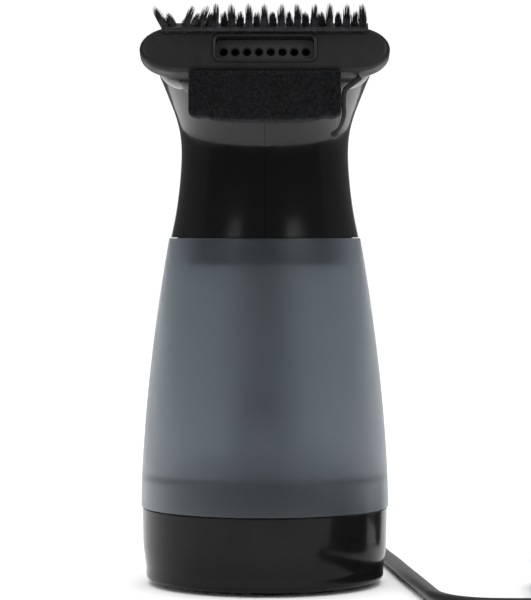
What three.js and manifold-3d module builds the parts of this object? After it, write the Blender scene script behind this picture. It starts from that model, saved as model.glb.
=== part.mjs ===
// Handheld garment steamer: a jug-shaped body that stands on its base, with a loop handle behind it and a
// wide steam head in front. Millimetres, +Z up. The steamer faces -Y, and the floor is z = 0.
// The group "steamer" is built about the axis of its round body, then moved so that the middle of its
// footprint, without the cord, is at the origin.
import * as THREE from "three";
import { LoftGeometry } from "three/addons/geometries/LoftGeometry.js";
import { mergeVertices } from "three/addons/utils/BufferGeometryUtils.js";
import Module from "manifold-3d";

const wasm = await Module();
wasm.setup();

// ---------------------------------------------------------------- driving dimensions

const GAP = 0.3; // clearance between pieces that touch or slide
const WALL = 2.2; // moulded shell thickness
const ROUND = 28; // sides of the large round pieces
const SMALL_ROUND = 12; // sides of the small round pieces
const SLIVER = 0.05; // surface detail smaller than this is merged after cutting

const base = { top: 33, cornerRadius: 5.5, wall: 2.4 };
const tank = { bottom: base.top + GAP, top: 148.3, bottomRadius: 53.2, topRadius: 41, swell: 1.65, floor: 45,
  floorThick: 2.5 };
const above = (rise) => tank.top + rise; // a height over the tank's rim
const beyond = (step) => tank.bottomRadius + step; // a distance out from the tank's foot
const neckWidth = (step) => tank.topRadius + step; // a distance out from the tank's rim
Object.assign(base, { topRadius: beyond(-0.6), lowRadius: beyond(-2.2), coverRadius: beyond(-9) });
const foot = { height: 1.8, radius: 6.8, stem: 4.6, ringRadius: base.coverRadius - 8.2 };
const collar = { height: 11, wall: 2.2 }; // the base's ring inside the tank's skirt
const gasket = { thick: 0.9, height: 2.4 };
const cap = { skirtRadius: neckWidth(-WALL - gasket.thick - GAP), skirtDepth: 11.6, plate: 2.4,
  spigotRadius: neckWidth(-4.8), spigot: 5.6 };
const boiler = { radius: 16, bottom: 30, top: 66, wall: 2.6, flangeRadius: 26, flangeThick: 3 };
const riser = { radius: 4.4, back: 16, top: above(47.7) };
const funnel = { wall: 1.6, radius: 10, mouthRadius: 18, back: -8, mouthBack: -4, top: above(79.7) };
const lid = { radius: funnel.mouthRadius + 0.7, back: funnel.mouthBack, hingeHeight: above(84.9), knuckle: 2.2, pin: 1.1 };
lid.hingeBack = lid.back + lid.radius + 3.7;
const head = { reach: neckWidth(21), height: above(75.7), tilt: THREE.MathUtils.degToRad(15) };
const mouth = { halfWidth: 43, halfHeight: 8, grip: 8 };
const holes = { count: 8, pitch: 4.8, radius: 1.9 };
const brush = { halfWidth: mouth.halfWidth + 7.7, halfHeight: mouth.halfHeight + 1.6, endLength: 15, skirt: 6.8, front: 5,
  bevel: 1.6 };
const slot = { halfWidth: (holes.count * holes.pitch) / 2 + 0.8, halfHeight: holes.radius + 3, corner: 2.5 };
const bristles = { count: 13, pitch: 6.6 };
bristles.halfWidth = ((bristles.count - 1) / 2) * bristles.pitch + 2.2;
const apron = { halfWidth: 30.8, bottom: 29.2, corner: 6, thick: 2.4, pile: 2.2, chin: 1.7 };
const handle = { halfWidth: 15.5, halfThick: 11.5 };
const trigger = { halfWidth: 5.5, pivotBack: beyond(30.8), pivotHeight: above(47.7), pin: 1.5 };
const rod = { height: above(59.7), radius: 2, front: riser.back + 1, back: trigger.pivotBack - 5, collar: riser.back + 21,
  collarRadius: 3.9, collarThick: 2 };
const valve = { front: riser.back - 3, back: riser.back + 12, radius: 6.5 };
const lock = { back: beyond(39.3), height: above(-0.3), radius: 3, reach: handle.halfWidth + 2, travel: 3 };
const powerSwitch = { front: beyond(-4.2), length: 6, travel: 4, halfWidth: 4 };
const relief = { from: [0, beyond(15.8), base.top - 4], to: [0, beyond(36.8), base.top - 16], radius: 5.2, tipRadius: 3.7,
  flange: 6.6 };
const cord = { radius: 3.1, tubeSides: 8 };
const hank = { x: 141.3, y: -44.6, halfRun: 26, innerTurn: 18.6, outerTurn: 24.9, layers: 3 };
const plug = { x: hank.x, back: 82, radius: 17.5, bodyLength: 34, pinRadius: 2.4, pinLength: 19, pinSpacing: 19 };

// ---------------------------------------------------------------- materials

const paint = (color, roughness, metalness = 0) => new THREE.MeshStandardMaterial({ color, roughness, metalness });
const looks = {
  glossBlack: paint(0x121314, 0.12),
  glossGraphite: paint(0x1b1d1f, 0.12),
  matteBlack: paint(0x151617, 0.55),
  smokeTank: new THREE.MeshStandardMaterial({ color: 0x5c6870, roughness: 0.35, transparent: true, opacity: 0.6 }),
  pile: paint(0x101112, 0.95),
  bristle: paint(0x111213, 0.6),
  rubber: paint(0x141414, 0.8),
  silicone: paint(0xb9bcbc, 0.6),
  aluminium: paint(0xa9abad, 0.4, 1),
  steel: paint(0x9a9c9e, 0.3, 1),
  brass: paint(0xb08d45, 0.35, 1),
  innerPlastic: paint(0x3a3c3e, 0.6),
  lens: paint(0x7a1c14, 0.2),
  cordSheath: paint(0x161616, 0.5),
};

// ---------------------------------------------------------------- tools

// A closed geometry as a solid that can be cut and joined.
function solid(geometry) {
  const bare = new THREE.BufferGeometry();
  bare.setAttribute("position", geometry.getAttribute("position"));
  bare.setIndex(geometry.index);
  const merged = mergeVertices(bare, 1e-4);
  const vertProperties = new Float32Array(merged.attributes.position.array);
  const triVerts = new Uint32Array(merged.index.array);
  const made = new wasm.Manifold(new wasm.Mesh({ numProp: 3, vertProperties, triVerts }));
  if (made.volume() > 0) return made;
  for (let i = 0; i < triVerts.length; i += 3) {
    [triVerts[i + 1], triVerts[i + 2]] = [triVerts[i + 2], triVerts[i + 1]];
  }
  return new wasm.Manifold(new wasm.Mesh({ numProp: 3, vertProperties, triVerts }));
}

// The mesh of a solid, without the slivers that cuts leave.
function geometryOf(made) {
  const mesh = made.simplify(SLIVER).getMesh();
  const geometry = new THREE.BufferGeometry();
  const points = new Float32Array(mesh.numVert * 3);
  for (let i = 0; i < mesh.numVert; i++) {
    points.set(mesh.vertProperties.subarray(i * mesh.numProp, i * mesh.numProp + 3), i * 3);
  }
  geometry.setAttribute("position", new THREE.BufferAttribute(points, 3));
  geometry.setIndex(new THREE.BufferAttribute(mesh.triVerts, 1));
  geometry.computeVertexNormals();
  return geometry;
}

function piece(name, shape, material, group) {
  const made = shape.isBufferGeometry ? solid(shape) : shape;
  const mesh = new THREE.Mesh(geometryOf(made), material);
  mesh.name = name;
  group.add(mesh);
  return mesh;
}

const joined = (first, ...others) => others.reduce((sum, next) => sum.add(next), first);
const without = (first, ...others) => others.reduce((rest, next) => rest.subtract(next), first);

// A profile of [radius, height] pairs, turned about the Z axis.
function turned(profile, sides = ROUND) {
  const points = profile.map(([radius, height]) => new THREE.Vector2(radius, height));
  return new THREE.LatheGeometry(points, sides).rotateX(Math.PI / 2);
}

const closedProfile = (profile) => [...profile, profile[0]];

function cylinderZ(radius, low, high, x = 0, y = 0, sides = SMALL_ROUND) {
  const geometry = new THREE.CylinderGeometry(radius, radius, high - low, sides).rotateX(Math.PI / 2);
  return solid(geometry.translate(x, y, (low + high) / 2));
}

function cylinderX(radius, low, high, y, z, sides = SMALL_ROUND) {
  const geometry = new THREE.CylinderGeometry(radius, radius, high - low, sides).rotateZ(Math.PI / 2);
  return solid(geometry.translate((low + high) / 2, y, z));
}

function cylinderY(radius, low, high, x, z, sides = SMALL_ROUND) {
  const geometry = new THREE.CylinderGeometry(radius, radius, high - low, sides);
  return solid(geometry.translate(x, (low + high) / 2, z));
}

function block([x0, x1], [y0, y1], [z0, z1]) {
  const geometry = new THREE.BoxGeometry(x1 - x0, y1 - y0, z1 - z0);
  return solid(geometry.translate((x0 + x1) / 2, (y0 + y1) / 2, (z0 + z1) / 2));
}

const ring = (inner, outer, low, high, sides = ROUND) =>
  solid(turned(closedProfile([[inner, low], [outer, low], [outer, high], [inner, high]]), sides));

// A flat outline of points, extruded from one height to another.
function slab(outline, low, high, bevel = 0) {
  const shape = outline instanceof THREE.Shape ? outline : new THREE.Shape(outline);
  const geometry = new THREE.ExtrudeGeometry(shape, {
    depth: high - low - 2 * bevel,
    curveSegments: 5,
    bevelEnabled: bevel > 0,
    bevelThickness: bevel,
    bevelSize: bevel,
    bevelOffset: -bevel,
    bevelSegments: 2,
  });
  return solid(geometry.translate(0, 0, low + bevel));
}

// A long oval: straight sides with elliptical ends.
function oval(halfWidth, halfHeight, endLength = halfHeight, count = 20) {
  return Array.from({ length: count }, (_, i) => {
    const turn = ((i + 0.5) / count) * 2 * Math.PI;
    const x = Math.sign(Math.cos(turn)) * (halfWidth - endLength) + endLength * Math.cos(turn);
    return new THREE.Vector2(x, halfHeight * Math.sin(turn));
  });
}

function roundedRectangle(halfWidth, low, high, corner) {
  const shape = new THREE.Shape();
  shape.moveTo(-halfWidth + corner, low);
  shape.lineTo(halfWidth - corner, low);
  shape.absarc(halfWidth - corner, low + corner, corner, -Math.PI / 2, 0);
  shape.absarc(halfWidth - corner, high - corner, corner, 0, Math.PI / 2);
  shape.absarc(-halfWidth + corner, high - corner, corner, Math.PI / 2, Math.PI);
  shape.absarc(-halfWidth + corner, low + corner, corner, Math.PI, 1.5 * Math.PI);
  return shape;
}

const ellipse = (halfWidth, halfHeight, count) => oval(halfWidth, halfHeight, halfWidth, count);

// A section swept along a curve, with flat ends.
function swept(curve, section, steps) {
  const shape = new THREE.Shape(section);
  return solid(new THREE.ExtrudeGeometry(shape, { extrudePath: curve, steps, bevelEnabled: false }));
}

const curveThrough = (points) =>
  new THREE.CatmullRomCurve3(points.map((p) => new THREE.Vector3(...p)), false, "centripetal");

const lofted = (sections) => solid(new LoftGeometry(sections, { capStart: true, capEnd: true }));

// Turns a piece made along +Z, from the origin, to run from one point towards another.
function aimed(geometry, from, to) {
  const start = new THREE.Vector3(...from);
  const direction = new THREE.Vector3(...to).sub(start).normalize();
  const turn = new THREE.Quaternion().setFromUnitVectors(new THREE.Vector3(0, 0, 1), direction);
  return geometry.applyMatrix4(new THREE.Matrix4().compose(start, turn, new THREE.Vector3(1, 1, 1)));
}

// ---------------------------------------------------------------- groups and the head's own frame

const steamer = new THREE.Group();
const housing = new THREE.Group();
const brushHead = new THREE.Group(); // local +Z leaves the steam plate, local +Y runs up it
brushHead.position.set(0, -head.reach, head.height);
brushHead.rotation.x = Math.PI / 2 - head.tilt;
brushHead.updateMatrix();
steamer.add(housing, brushHead);

const atHead = (made) => made.transform(brushHead.matrix.toArray());

// ---------------------------------------------------------------- base

const tankRadius = (height) => {
  const share = (height - tank.bottom) / (tank.top - tank.bottom);
  return tank.bottomRadius - (tank.bottomRadius - tank.topRadius) * share ** tank.swell;
};

const compass = { right: 0, rear: Math.PI / 2, left: Math.PI, front: 1.5 * Math.PI };
const around = (radius, angle) => [radius * Math.cos(angle), radius * Math.sin(angle)];
const coverLow = foot.height;
const coverHigh = coverLow + 2.5;
const collarTop = base.top + collar.height;
const collarRadius = tankRadius(collarTop) - WALL - GAP;
const screwRing = base.coverRadius - 4;
const screwAngles = [0, 1, 2, 3].map((i) => ((i + 0.5) * Math.PI) / 2);
const post = { length: 11, width: 8, top: 20 };
const coverScrew = { shank: 1.4, head: 3, headThick: 1.2, top: 15 };

function baseCorner(radius, inset) {
  const centre = [base.lowRadius - radius, foot.height + radius];
  return [0, 0.25, 0.5, 0.75, 1].map((share) => {
    const angle = (-share * Math.PI) / 2;
    return [centre[0] + (radius - inset) * Math.cos(angle), centre[1] + (radius - inset) * Math.sin(angle)];
  });
}

function baseShell() {
  const innerWall = base.topRadius - base.wall;
  const outside = [[base.topRadius, base.top], [base.topRadius - 0.3, base.top / 2], ...baseCorner(base.cornerRadius, 0)];
  const inside = [...baseCorner(base.cornerRadius, base.wall)].reverse();
  const shell = solid(turned(closedProfile([
    [collarRadius, collarTop],
    [collarRadius, base.top],
    ...outside,
    [base.coverRadius + GAP, foot.height],
    [base.coverRadius + GAP, foot.height + base.wall],
    ...inside.slice(1),
    [innerWall - 0.3, base.top / 2],
    [collarRadius - collar.wall, base.top - 2],
    [collarRadius - collar.wall, collarTop],
  ])));
  const envelope = cylinderZ(base.lowRadius - 1, coverHigh + GAP, post.top, 0, 0, ROUND);
  const posts = screwAngles.map((angle) => {
    const bar = new THREE.BoxGeometry(post.length, post.width, post.top - coverHigh - GAP);
    bar.translate(screwRing + 3.3, 0, (post.top + coverHigh + GAP) / 2).rotateZ(angle);
    const [x, y] = around(screwRing, angle);
    return solid(bar).intersect(envelope).subtract(cylinderZ(coverScrew.shank + GAP, 0, coverScrew.top + 1, x, y, 10));
  });
  return joined(shell, ...posts);
}

function baseCover() {
  let cover = cylinderZ(base.coverRadius, coverLow, coverHigh, 0, 0, ROUND);
  for (const angle of Object.values(compass)) {
    cover = cover.subtract(cylinderZ(foot.stem + GAP, 0, coverHigh + 1, ...around(foot.ringRadius, angle)));
  }
  for (const angle of screwAngles) {
    const [x, y] = around(screwRing, angle);
    cover = without(
      cover,
      cylinderZ(coverScrew.shank + GAP, 0, coverHigh + 1, x, y, 10),
      cylinderZ(coverScrew.head + GAP, 0, coverLow + coverScrew.headThick + GAP, x, y, 12),
    );
  }
  return cover;
}

for (const [side, angle] of Object.entries(compass)) {
  const [x, y] = around(foot.ringRadius, angle);
  const profile = [[0, 0], [foot.radius - 0.5, 0], [foot.radius, 0.6], [foot.radius, foot.height - GAP],
    [foot.stem, foot.height - GAP], [foot.stem, coverHigh], [0, coverHigh]];
  piece("foot_" + side, turned(profile, 14), looks.rubber, housing).position.set(x, y, 0);
}
screwAngles.forEach((angle, i) => {
  const [x, y] = around(screwRing, angle);
  const shape = joined(
    cylinderZ(coverScrew.head, 0, coverScrew.headThick, 0, 0, 12),
    cylinderZ(coverScrew.shank, 0, coverScrew.top - coverLow, 0, 0, 10),
  );
  piece("cover_screw_" + (i + 1), shape, looks.steel, housing).position.set(x, y, coverLow);
});

// ---------------------------------------------------------------- tank and its closing cap

const tankHeights = [0, 0.105, 0.3, 0.5, 0.7, 0.85, 1].map((t) => tank.bottom + t * (tank.top - tank.bottom));
const floorTop = tank.floor + tank.floorThick;

function waterTank() {
  const outside = tankHeights.map((height) => [tankRadius(height), height]);
  const inside = tankHeights.filter((h) => h > floorTop).map((height) => [tankRadius(height) - WALL, height]);
  return turned(closedProfile([
    ...outside,
    ...inside.reverse(),
    [tankRadius(floorTop) - WALL, floorTop],
    [boiler.radius + 2, floorTop],
    [boiler.radius + 2, tank.floor],
    [tankRadius(tank.floor) - WALL, tank.floor],
    [tank.bottomRadius - WALL, tank.bottom],
  ]));
}

const capLow = tank.top - cap.skirtDepth;
const capTop = tank.top + GAP;

function tankCap() {
  const body = solid(turned([
    [0, capTop - cap.plate],
    [cap.skirtRadius - WALL, capTop - cap.plate],
    [cap.skirtRadius - WALL, capLow],
    [cap.skirtRadius, capLow],
    [cap.skirtRadius, capTop],
    [cap.spigotRadius, capTop],
    [cap.spigotRadius, capTop + cap.spigot],
    [cap.spigotRadius - WALL, capTop + cap.spigot],
    [cap.spigotRadius - WALL, capTop],
    [0, capTop],
  ]));
  return without(
    body,
    cylinderZ(funnel.radius, 0, tank.top + 9, 0, funnel.back, 20),
    cylinderZ(riser.radius + GAP, 0, tank.top + 9, 0, riser.back),
  );
}

piece("base_cover", baseCover(), looks.matteBlack, housing);
piece("water_tank", waterTank(), looks.smokeTank, housing);
piece("tank_cap", tankCap(), looks.matteBlack, housing);
const gasketRadius = cap.skirtRadius + GAP;
piece("tank_gasket", ring(gasketRadius, gasketRadius + gasket.thick, capLow + 4, capLow + 4 + gasket.height),
  looks.silicone, housing);

// ---------------------------------------------------------------- boiler, heater and wiring

const flangeTop = tank.floor - 2 * GAP - 1.4;
const boilerSeal = ring(boiler.radius + 2, boiler.flangeRadius - 1, flangeTop + GAP, tank.floor - GAP);
piece("boiler_seal", boilerSeal, looks.silicone, housing);

function boilerBody() {
  const inside = boiler.radius - boiler.wall;
  const body = solid(turned([
    [0, boiler.bottom],
    [boiler.radius, boiler.bottom],
    [boiler.radius, flangeTop - boiler.flangeThick],
    [boiler.flangeRadius, flangeTop - boiler.flangeThick],
    [boiler.flangeRadius, flangeTop],
    [boiler.radius, flangeTop],
    [boiler.radius, boiler.top],
    [inside, boiler.top],
    [inside, boiler.bottom + 4],
    [0, boiler.bottom + 4],
  ], 20));
  const inlet = 1.6;
  const inletHeight = floorTop + 2.5;
  return without(
    body,
    cylinderX(inlet, -boiler.radius - 1, boiler.radius + 1, 0, inletHeight, 8),
    cylinderY(inlet, -boiler.radius - 1, boiler.radius + 1, 0, inletHeight, 8),
  );
}

const riserFoot = 8; // how far behind the axis the pipe leaves the boiler
const boilerCapTop = boiler.top + 6;

function boilerCap() {
  const body = solid(turned([
    [0, boiler.top + GAP],
    [boiler.radius + 1, boiler.top + GAP],
    [boiler.radius + 1, boilerCapTop - 2],
    [boiler.radius - 1, boilerCapTop],
    [0, boilerCapTop],
  ], 20));
  return body.subtract(cylinderZ(riser.radius + GAP, 0, 100, 0, riserFoot, 12));
}

function steamRiser() {
  const path = curveThrough([
    [0, riserFoot, boiler.top + 1],
    [0, riserFoot, boilerCapTop + 8],
    [0, riser.back - 3, THREE.MathUtils.lerp(boilerCapTop, capTop, 0.444)],
    [0, riser.back, THREE.MathUtils.lerp(boilerCapTop, capTop, 0.783)],
    [0, riser.back, capTop],
    [0, riser.back, riser.top],
  ]);
  const pipe = swept(path, ellipse(riser.radius, riser.radius, 8), 12);
  return pipe;
}

piece("boiler_body", boilerBody(), looks.aluminium, housing);
piece("boiler_cap", boilerCap(), looks.aluminium, housing);
piece("steam_riser", steamRiser(), looks.innerPlastic, housing);

const element = { ring: 11.6, radius: 2.8, height: boiler.bottom - GAP - 2.8 };
function heatingElement() {
  const turn = 300;
  const points = Array.from({ length: 13 }, (_, i) => {
    const angle = THREE.MathUtils.degToRad(-90 + (360 - turn) / 2 + (turn * i) / 12);
    return [...around(element.ring, angle), element.height];
  });
  return swept(curveThrough(points), ellipse(element.radius, element.radius, 7), 14);
}
piece("heating_element", heatingElement(), looks.steel, housing);

const thermostat = { radius: 7.6, low: 22.5 };
const thermostatDisc = cylinderZ(thermostat.radius, thermostat.low, boiler.bottom - GAP, 0, 0, 20);
const thermostatTab = block([-3, 3], [-1.2, 1.2], [thermostat.low - 4, thermostat.low + 1]);
piece("thermostat", joined(thermostatDisc, thermostatTab), looks.steel, housing);
piece("thermal_fuse", cylinderY(2, -7, 7, 20, boiler.bottom - GAP - 2, 10), looks.steel, housing);

const terminal = { y: -27, halfWidth: 11, halfDepth: 5, low: coverHigh + GAP, high: coverHigh + 9 };
piece("terminal_block", block(
  [-terminal.halfWidth, terminal.halfWidth],
  [terminal.y - terminal.halfDepth, terminal.y + terminal.halfDepth],
  [terminal.low, terminal.high],
), looks.innerPlastic, housing);

for (const [name, side] of [["lead_live", 1], ["lead_neutral", -1]]) {
  const path = curveThrough([
    [side * 6, terminal.y, terminal.high + GAP],
    [side * 6.2, terminal.y + 1, terminal.high + 6],
    [side * 6, -16, 24],
    [side * 5.6, -13.3, 26.5],
  ]);
  piece(name, swept(path, ellipse(1.2, 1.2, 6), 8), looks.cordSheath, housing);
}

const clamp = { y: 30, halfWidth: 12, halfDepth: 4, low: coverHigh + GAP, high: coverHigh + 6 };
piece("cord_clamp", block(
  [-clamp.halfWidth, clamp.halfWidth],
  [clamp.y - clamp.halfDepth, clamp.y + clamp.halfDepth],
  [clamp.low, clamp.high],
), looks.innerPlastic, housing);

// ---------------------------------------------------------------- upper housing: neck, mouth and handle

// Each station of the neck, from the tank's rim: rise, then steps out in half width, to the front and to the rear.
const neckStations = [
  [0.3, -0.6, -0.6, -0.6],
  [11.7, -3, -3, -3.4],
  [24.7, -4.7, -4.3, -5.5],
  [36.7, -5.3, -3.7, -6.6],
  [44.7, -4.7, -1, -7.2],
  [51.7, -3, 3.4, -7.4],
  [58.7, -0.4, 8.6, -7.4],
  [64.7, 2, 13.4, -7.4],
  [70.7, 4.2, 16.6, -7.8],
  [76.7, 3.8, 16, -9.2],
  [81.3, 0.2, 11.2, -12],
  [84.1, -6, 3, -16.6],
  [85.3, -15, -9, -23],
].map(([rise, ...steps]) => [above(rise), ...steps.map(neckWidth)]);

function neckSection([height, halfWidth, front, rear], inset) {
  return Array.from({ length: ROUND }, (_, i) => {
    const turn = ((i + 0.5) / ROUND) * 2 * Math.PI;
    const reach = (Math.sin(turn) < 0 ? front : rear) - inset;
    return new THREE.Vector3((halfWidth - inset) * Math.cos(turn), reach * Math.sin(turn), height);
  });
}

function neck(inset) {
  const stations = neckStations.map((station) => [...station]);
  if (inset) {
    stations[0][0] -= 1;
    for (const station of stations.slice(8)) station[0] -= inset;
  }
  return lofted(stations.map((station) => neckSection(station, inset)));
}

// Stations of the mouth, in the head's frame: distance along +Z, half width, half height.
function headMouth(inset) {
  const stations = [
    [-27, mouth.halfWidth - 4.4, mouth.halfHeight + 0.2],
    [-18, mouth.halfWidth + 1, mouth.halfHeight + 1.5],
    [-mouth.grip - 2, mouth.halfWidth + 1.2, mouth.halfHeight + 1.2],
    [-mouth.grip, mouth.halfWidth, mouth.halfHeight],
    [inset ? 2 : 0, mouth.halfWidth, mouth.halfHeight],
  ];
  const sections = stations.map(([z, halfWidth, halfHeight]) =>
    oval(halfWidth - inset, halfHeight - inset).map((p) => new THREE.Vector3(p.x, p.y, z)));
  return atHead(lofted(sections));
}

// The handle's middle line: along behind the neck, down the back and forward into the base.
const handlePath = curveThrough([
  [0, riser.back, above(64.2)],
  [0, neckWidth(-3), above(64.7)],
  [0, beyond(4.8), above(64.2)],
  [0, beyond(21.8), above(57.7)],
  [0, beyond(32.3), above(42.7)],
  [0, beyond(35.3), above(21.7)],
  [0, beyond(34.8), above(-8.3)],
  [0, beyond(32.8), above(-43.3)],
  [0, beyond(28.8), base.top + 39],
  [0, beyond(20.8), base.top + 11],
  [0, beyond(8.8), base.top - 8],
  [0, beyond(-7.2), base.top - 15.5],
]);
const handleFoot = beyond(-3.2); // how far behind the axis the handle ends, inside the base
const handleTube = (inset) =>
  swept(handlePath, ellipse(handle.halfWidth - inset, handle.halfThick - inset, 14), 20);

const reliefHole = solid(aimed(turned([[0, -20], [relief.radius + GAP, -20], [relief.radius + GAP, 40], [0, 40]], 16),
  relief.from, relief.to));

// The screws that pull the two halves together, as [back, height, half width of the case there].
const caseScrews = [
  [beyond(35), above(-20.3), handle.halfWidth - 0.1],
  [beyond(30.2), base.top + 47, handle.halfWidth - 0.1],
  [neckWidth(0), above(68.1), handle.halfWidth - 0.9],
  [neckWidth(-17), above(11.7), neckWidth(-12)],
];
const caseScrew = { head: 2.7, headThick: 2, shank: 1.25, sunk: 1.6, boss: 3.4, reach: 8 };

function bosses() {
  const screwBosses = caseScrews.map(([y, z, halfWidth]) => without(
    cylinderX(caseScrew.boss, -halfWidth, halfWidth, y, z, 12),
    cylinderX(caseScrew.shank + GAP, -halfWidth - 1, caseScrew.reach + 1, y, z, 10),
  ));
  const pivotBosses = [-1, 1].map((side) => {
    const ends = [side * (trigger.halfWidth + GAP), side * 14].sort((a, b) => a - b);
    return cylinderX(trigger.pin + 2, ...ends, trigger.pivotBack, trigger.pivotHeight, 12)
      .subtract(cylinderX(trigger.pin + GAP, -12.6, 12.6, trigger.pivotBack, trigger.pivotHeight, 12));
  });
  return joined(...screwBosses, ...pivotBosses);
}

const bodyEnvelope = solid(turned([
  [0, tank.bottom - 0.1],
  ...tankHeights.map((height) => [tankRadius(height) + GAP, height]),
  [0, tank.top],
]));
const sliderPlate = { low: above(69.3), high: above(70.7), halfWidth: 5.5 };
const lens = { radius: 2.2, back: neckWidth(-4.5), low: above(71.2), top: above(77.3) };
const lidAxis = { y: lid.hingeBack, z: lid.hingeHeight };
const outerCase = joined(neck(0), headMouth(0), handleTube(0));
const innerCase = joined(neck(WALL), headMouth(WALL), handleTube(WALL));
const shellCase = without(outerCase, innerCase);

function lidKnuckles() {
  return [-1, 1].map((side) => {
    const ends = [side * 5.3, side * 9].sort((a, b) => a - b);
    return joined(
      cylinderX(lid.knuckle, ...ends, lidAxis.y, lidAxis.z, 12),
      block(ends, [lidAxis.y - lid.knuckle + 0.4, lidAxis.y + lid.knuckle], [lidAxis.z - 5, lidAxis.z]),
    );
  });
}

function caseHalves() {
  const screwCuts = caseScrews.map(([y, z, halfWidth]) => joined(
    cylinderX(caseScrew.head + GAP, -60, -halfWidth + caseScrew.sunk + caseScrew.headThick + GAP, y, z, 12),
    cylinderX(caseScrew.shank + GAP, -60, -halfWidth + 4, y, z, 10),
  ));
  const lidHole = joined(
    cylinderZ(lid.radius + GAP, above(71.7), above(91.7), 0, lid.back, 32),
    block([-5 - GAP, 5 + GAP], [lid.back + 8, lidAxis.y + lid.knuckle + GAP], [lidAxis.z - lid.knuckle - GAP, above(91.7)]),
    cylinderX(lid.pin + GAP, -12, 12, lidAxis.y, lidAxis.z, 10),
  );
  const whole = without(
    joined(shellCase, bosses().intersect(outerCase), ...lidKnuckles()),
    lidHole,
    bodyEnvelope,
    reliefHole,
    ...screwCuts,
    block([-trigger.halfWidth - GAP, trigger.halfWidth + GAP], [trigger.pivotBack - 18, trigger.pivotBack - 2],
      [trigger.pivotHeight - 41, trigger.pivotHeight - 0.5]),
    block([-handle.halfWidth - 5, handle.halfWidth + 5], [handleFoot - 10, handleFoot], [0, base.top + 7]),
    block([-powerSwitch.halfWidth - GAP, powerSwitch.halfWidth + GAP],
      [powerSwitch.front - GAP, powerSwitch.front + powerSwitch.length + powerSwitch.travel + GAP],
      [sliderPlate.high, above(81.7)]),
    cylinderX(lock.radius + GAP, -30, 30, lock.back, lock.height, 12),
    cylinderZ(lens.radius + GAP, sliderPlate.high, above(81.7), 0, lens.back, 12),
  );
  return [[-200, -GAP / 2], [GAP / 2, 200]].map((range) => {
    const half = whole.intersect(block(range, [-200, 200], [-10, 300]));
    const bodies = half.decompose().sort((a, b) => b.volume() - a.volume());
    return bodies[0];
  });
}

const [leftHalf, rightHalf] = caseHalves();
piece("housing_left", leftHalf, looks.glossGraphite, housing);
piece("housing_right", rightHalf, looks.glossGraphite, housing);

// The handle's foot goes in through a window in the base.
const footWindow = handleTube(-GAP);
piece("base_shell", baseShell().subtract(footWindow), looks.glossBlack, housing);

caseScrews.forEach(([y, z, halfWidth], i) => {
  const start = -halfWidth + caseScrew.sunk;
  const shape = joined(
    cylinderX(caseScrew.head, 0, caseScrew.headThick, 0, 0, 12),
    cylinderX(caseScrew.shank, 0, caseScrew.reach - start, 0, 0, 8),
  );
  piece("case_screw_" + (i + 1), shape, looks.steel, housing).position.set(start, y, z);
});

// ---------------------------------------------------------------- filler: funnel, lid, seal and hinge pin

function funnelLoft(extra, ends) {
  const stations = [
    [capTop + GAP - ends, funnel.back, funnel.radius],
    [above(31.7), funnel.back, funnel.radius],
    [above(55.7), funnel.back + 2, funnel.radius + 2],
    [funnel.top - 6, funnel.mouthBack, funnel.mouthRadius],
    [funnel.top + ends, funnel.mouthBack, funnel.mouthRadius],
  ];
  return lofted(stations.map(([z, y, radius]) =>
    ellipse(radius + extra, radius + extra, 18).map((p) => new THREE.Vector3(p.x, p.y + y, z))));
}
const fillerFunnel = funnelLoft(funnel.wall, 0).subtract(funnelLoft(0, 1)).subtract(
  neck(0).subtract(neck(WALL + GAP)));
piece("filler_funnel", fillerFunnel.decompose().sort((a, b) => b.volume() - a.volume())[0], looks.innerPlastic, housing);

const plugRing = { radius: funnel.mouthRadius - 3, wall: 1.8, low: above(74.7) };
function fillerLid() {
  const skin = shellCase.intersect(cylinderZ(lid.radius, above(71.7), above(91.7), 0, lid.back, 32));
  const knuckle = joined(
    cylinderX(lid.knuckle, -5, 5, lidAxis.y, lidAxis.z, 12),
    block([-5, 5], [lid.back + 14, lidAxis.y], [lidAxis.z - lid.knuckle, lidAxis.z + 1]),
  );
  const spigot = ring(plugRing.radius - plugRing.wall, plugRing.radius, plugRing.low, above(82.7), 24)
    .translate([0, lid.back, 0]);
  const tab = block([-6, 6], [lid.back - lid.radius + 1, lid.back - lid.radius + 4.4], [above(83.7), above(86.3)]);
  return joined(skin, knuckle, spigot, tab).subtract(cylinderX(lid.pin + GAP, -12, 12, lidAxis.y, lidAxis.z, 10));
}
piece("filler_lid", fillerLid(), looks.glossGraphite, steamer);
piece("lid_seal", ring(plugRing.radius + GAP, plugRing.radius + 1.6, plugRing.low + 1, plugRing.low + 3.4, 24),
  looks.silicone, steamer).position.set(0, lid.back, 0);
piece("lid_hinge_pin", cylinderX(lid.pin, -9, 9, lidAxis.y, lidAxis.z, 10), looks.steel, housing);

// ---------------------------------------------------------------- steam valve, rod, spring and trigger

function steamValve() {
  const body = joined(
    cylinderY(valve.radius, valve.front, valve.back, 0, rod.height, 16),
    cylinderZ(riser.radius, riser.top + GAP, rod.height, 0, riser.back, 12),
    cylinderX(4, 0, 11, riser.back + 3, rod.height, 12),
  );
  return body.subtract(cylinderY(rod.radius + GAP, rod.front - 2.4, valve.back + 1, 0, rod.height, 12));
}
piece("steam_valve", steamValve(), looks.brass, housing);

const pushRod = joined(
  cylinderY(rod.radius, rod.front, rod.back, 0, rod.height, 12),
  cylinderY(rod.collarRadius, rod.collar, rod.collar + rod.collarThick, 0, rod.height, 14),
);
piece("push_rod", pushRod, looks.steel, steamer);

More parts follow.
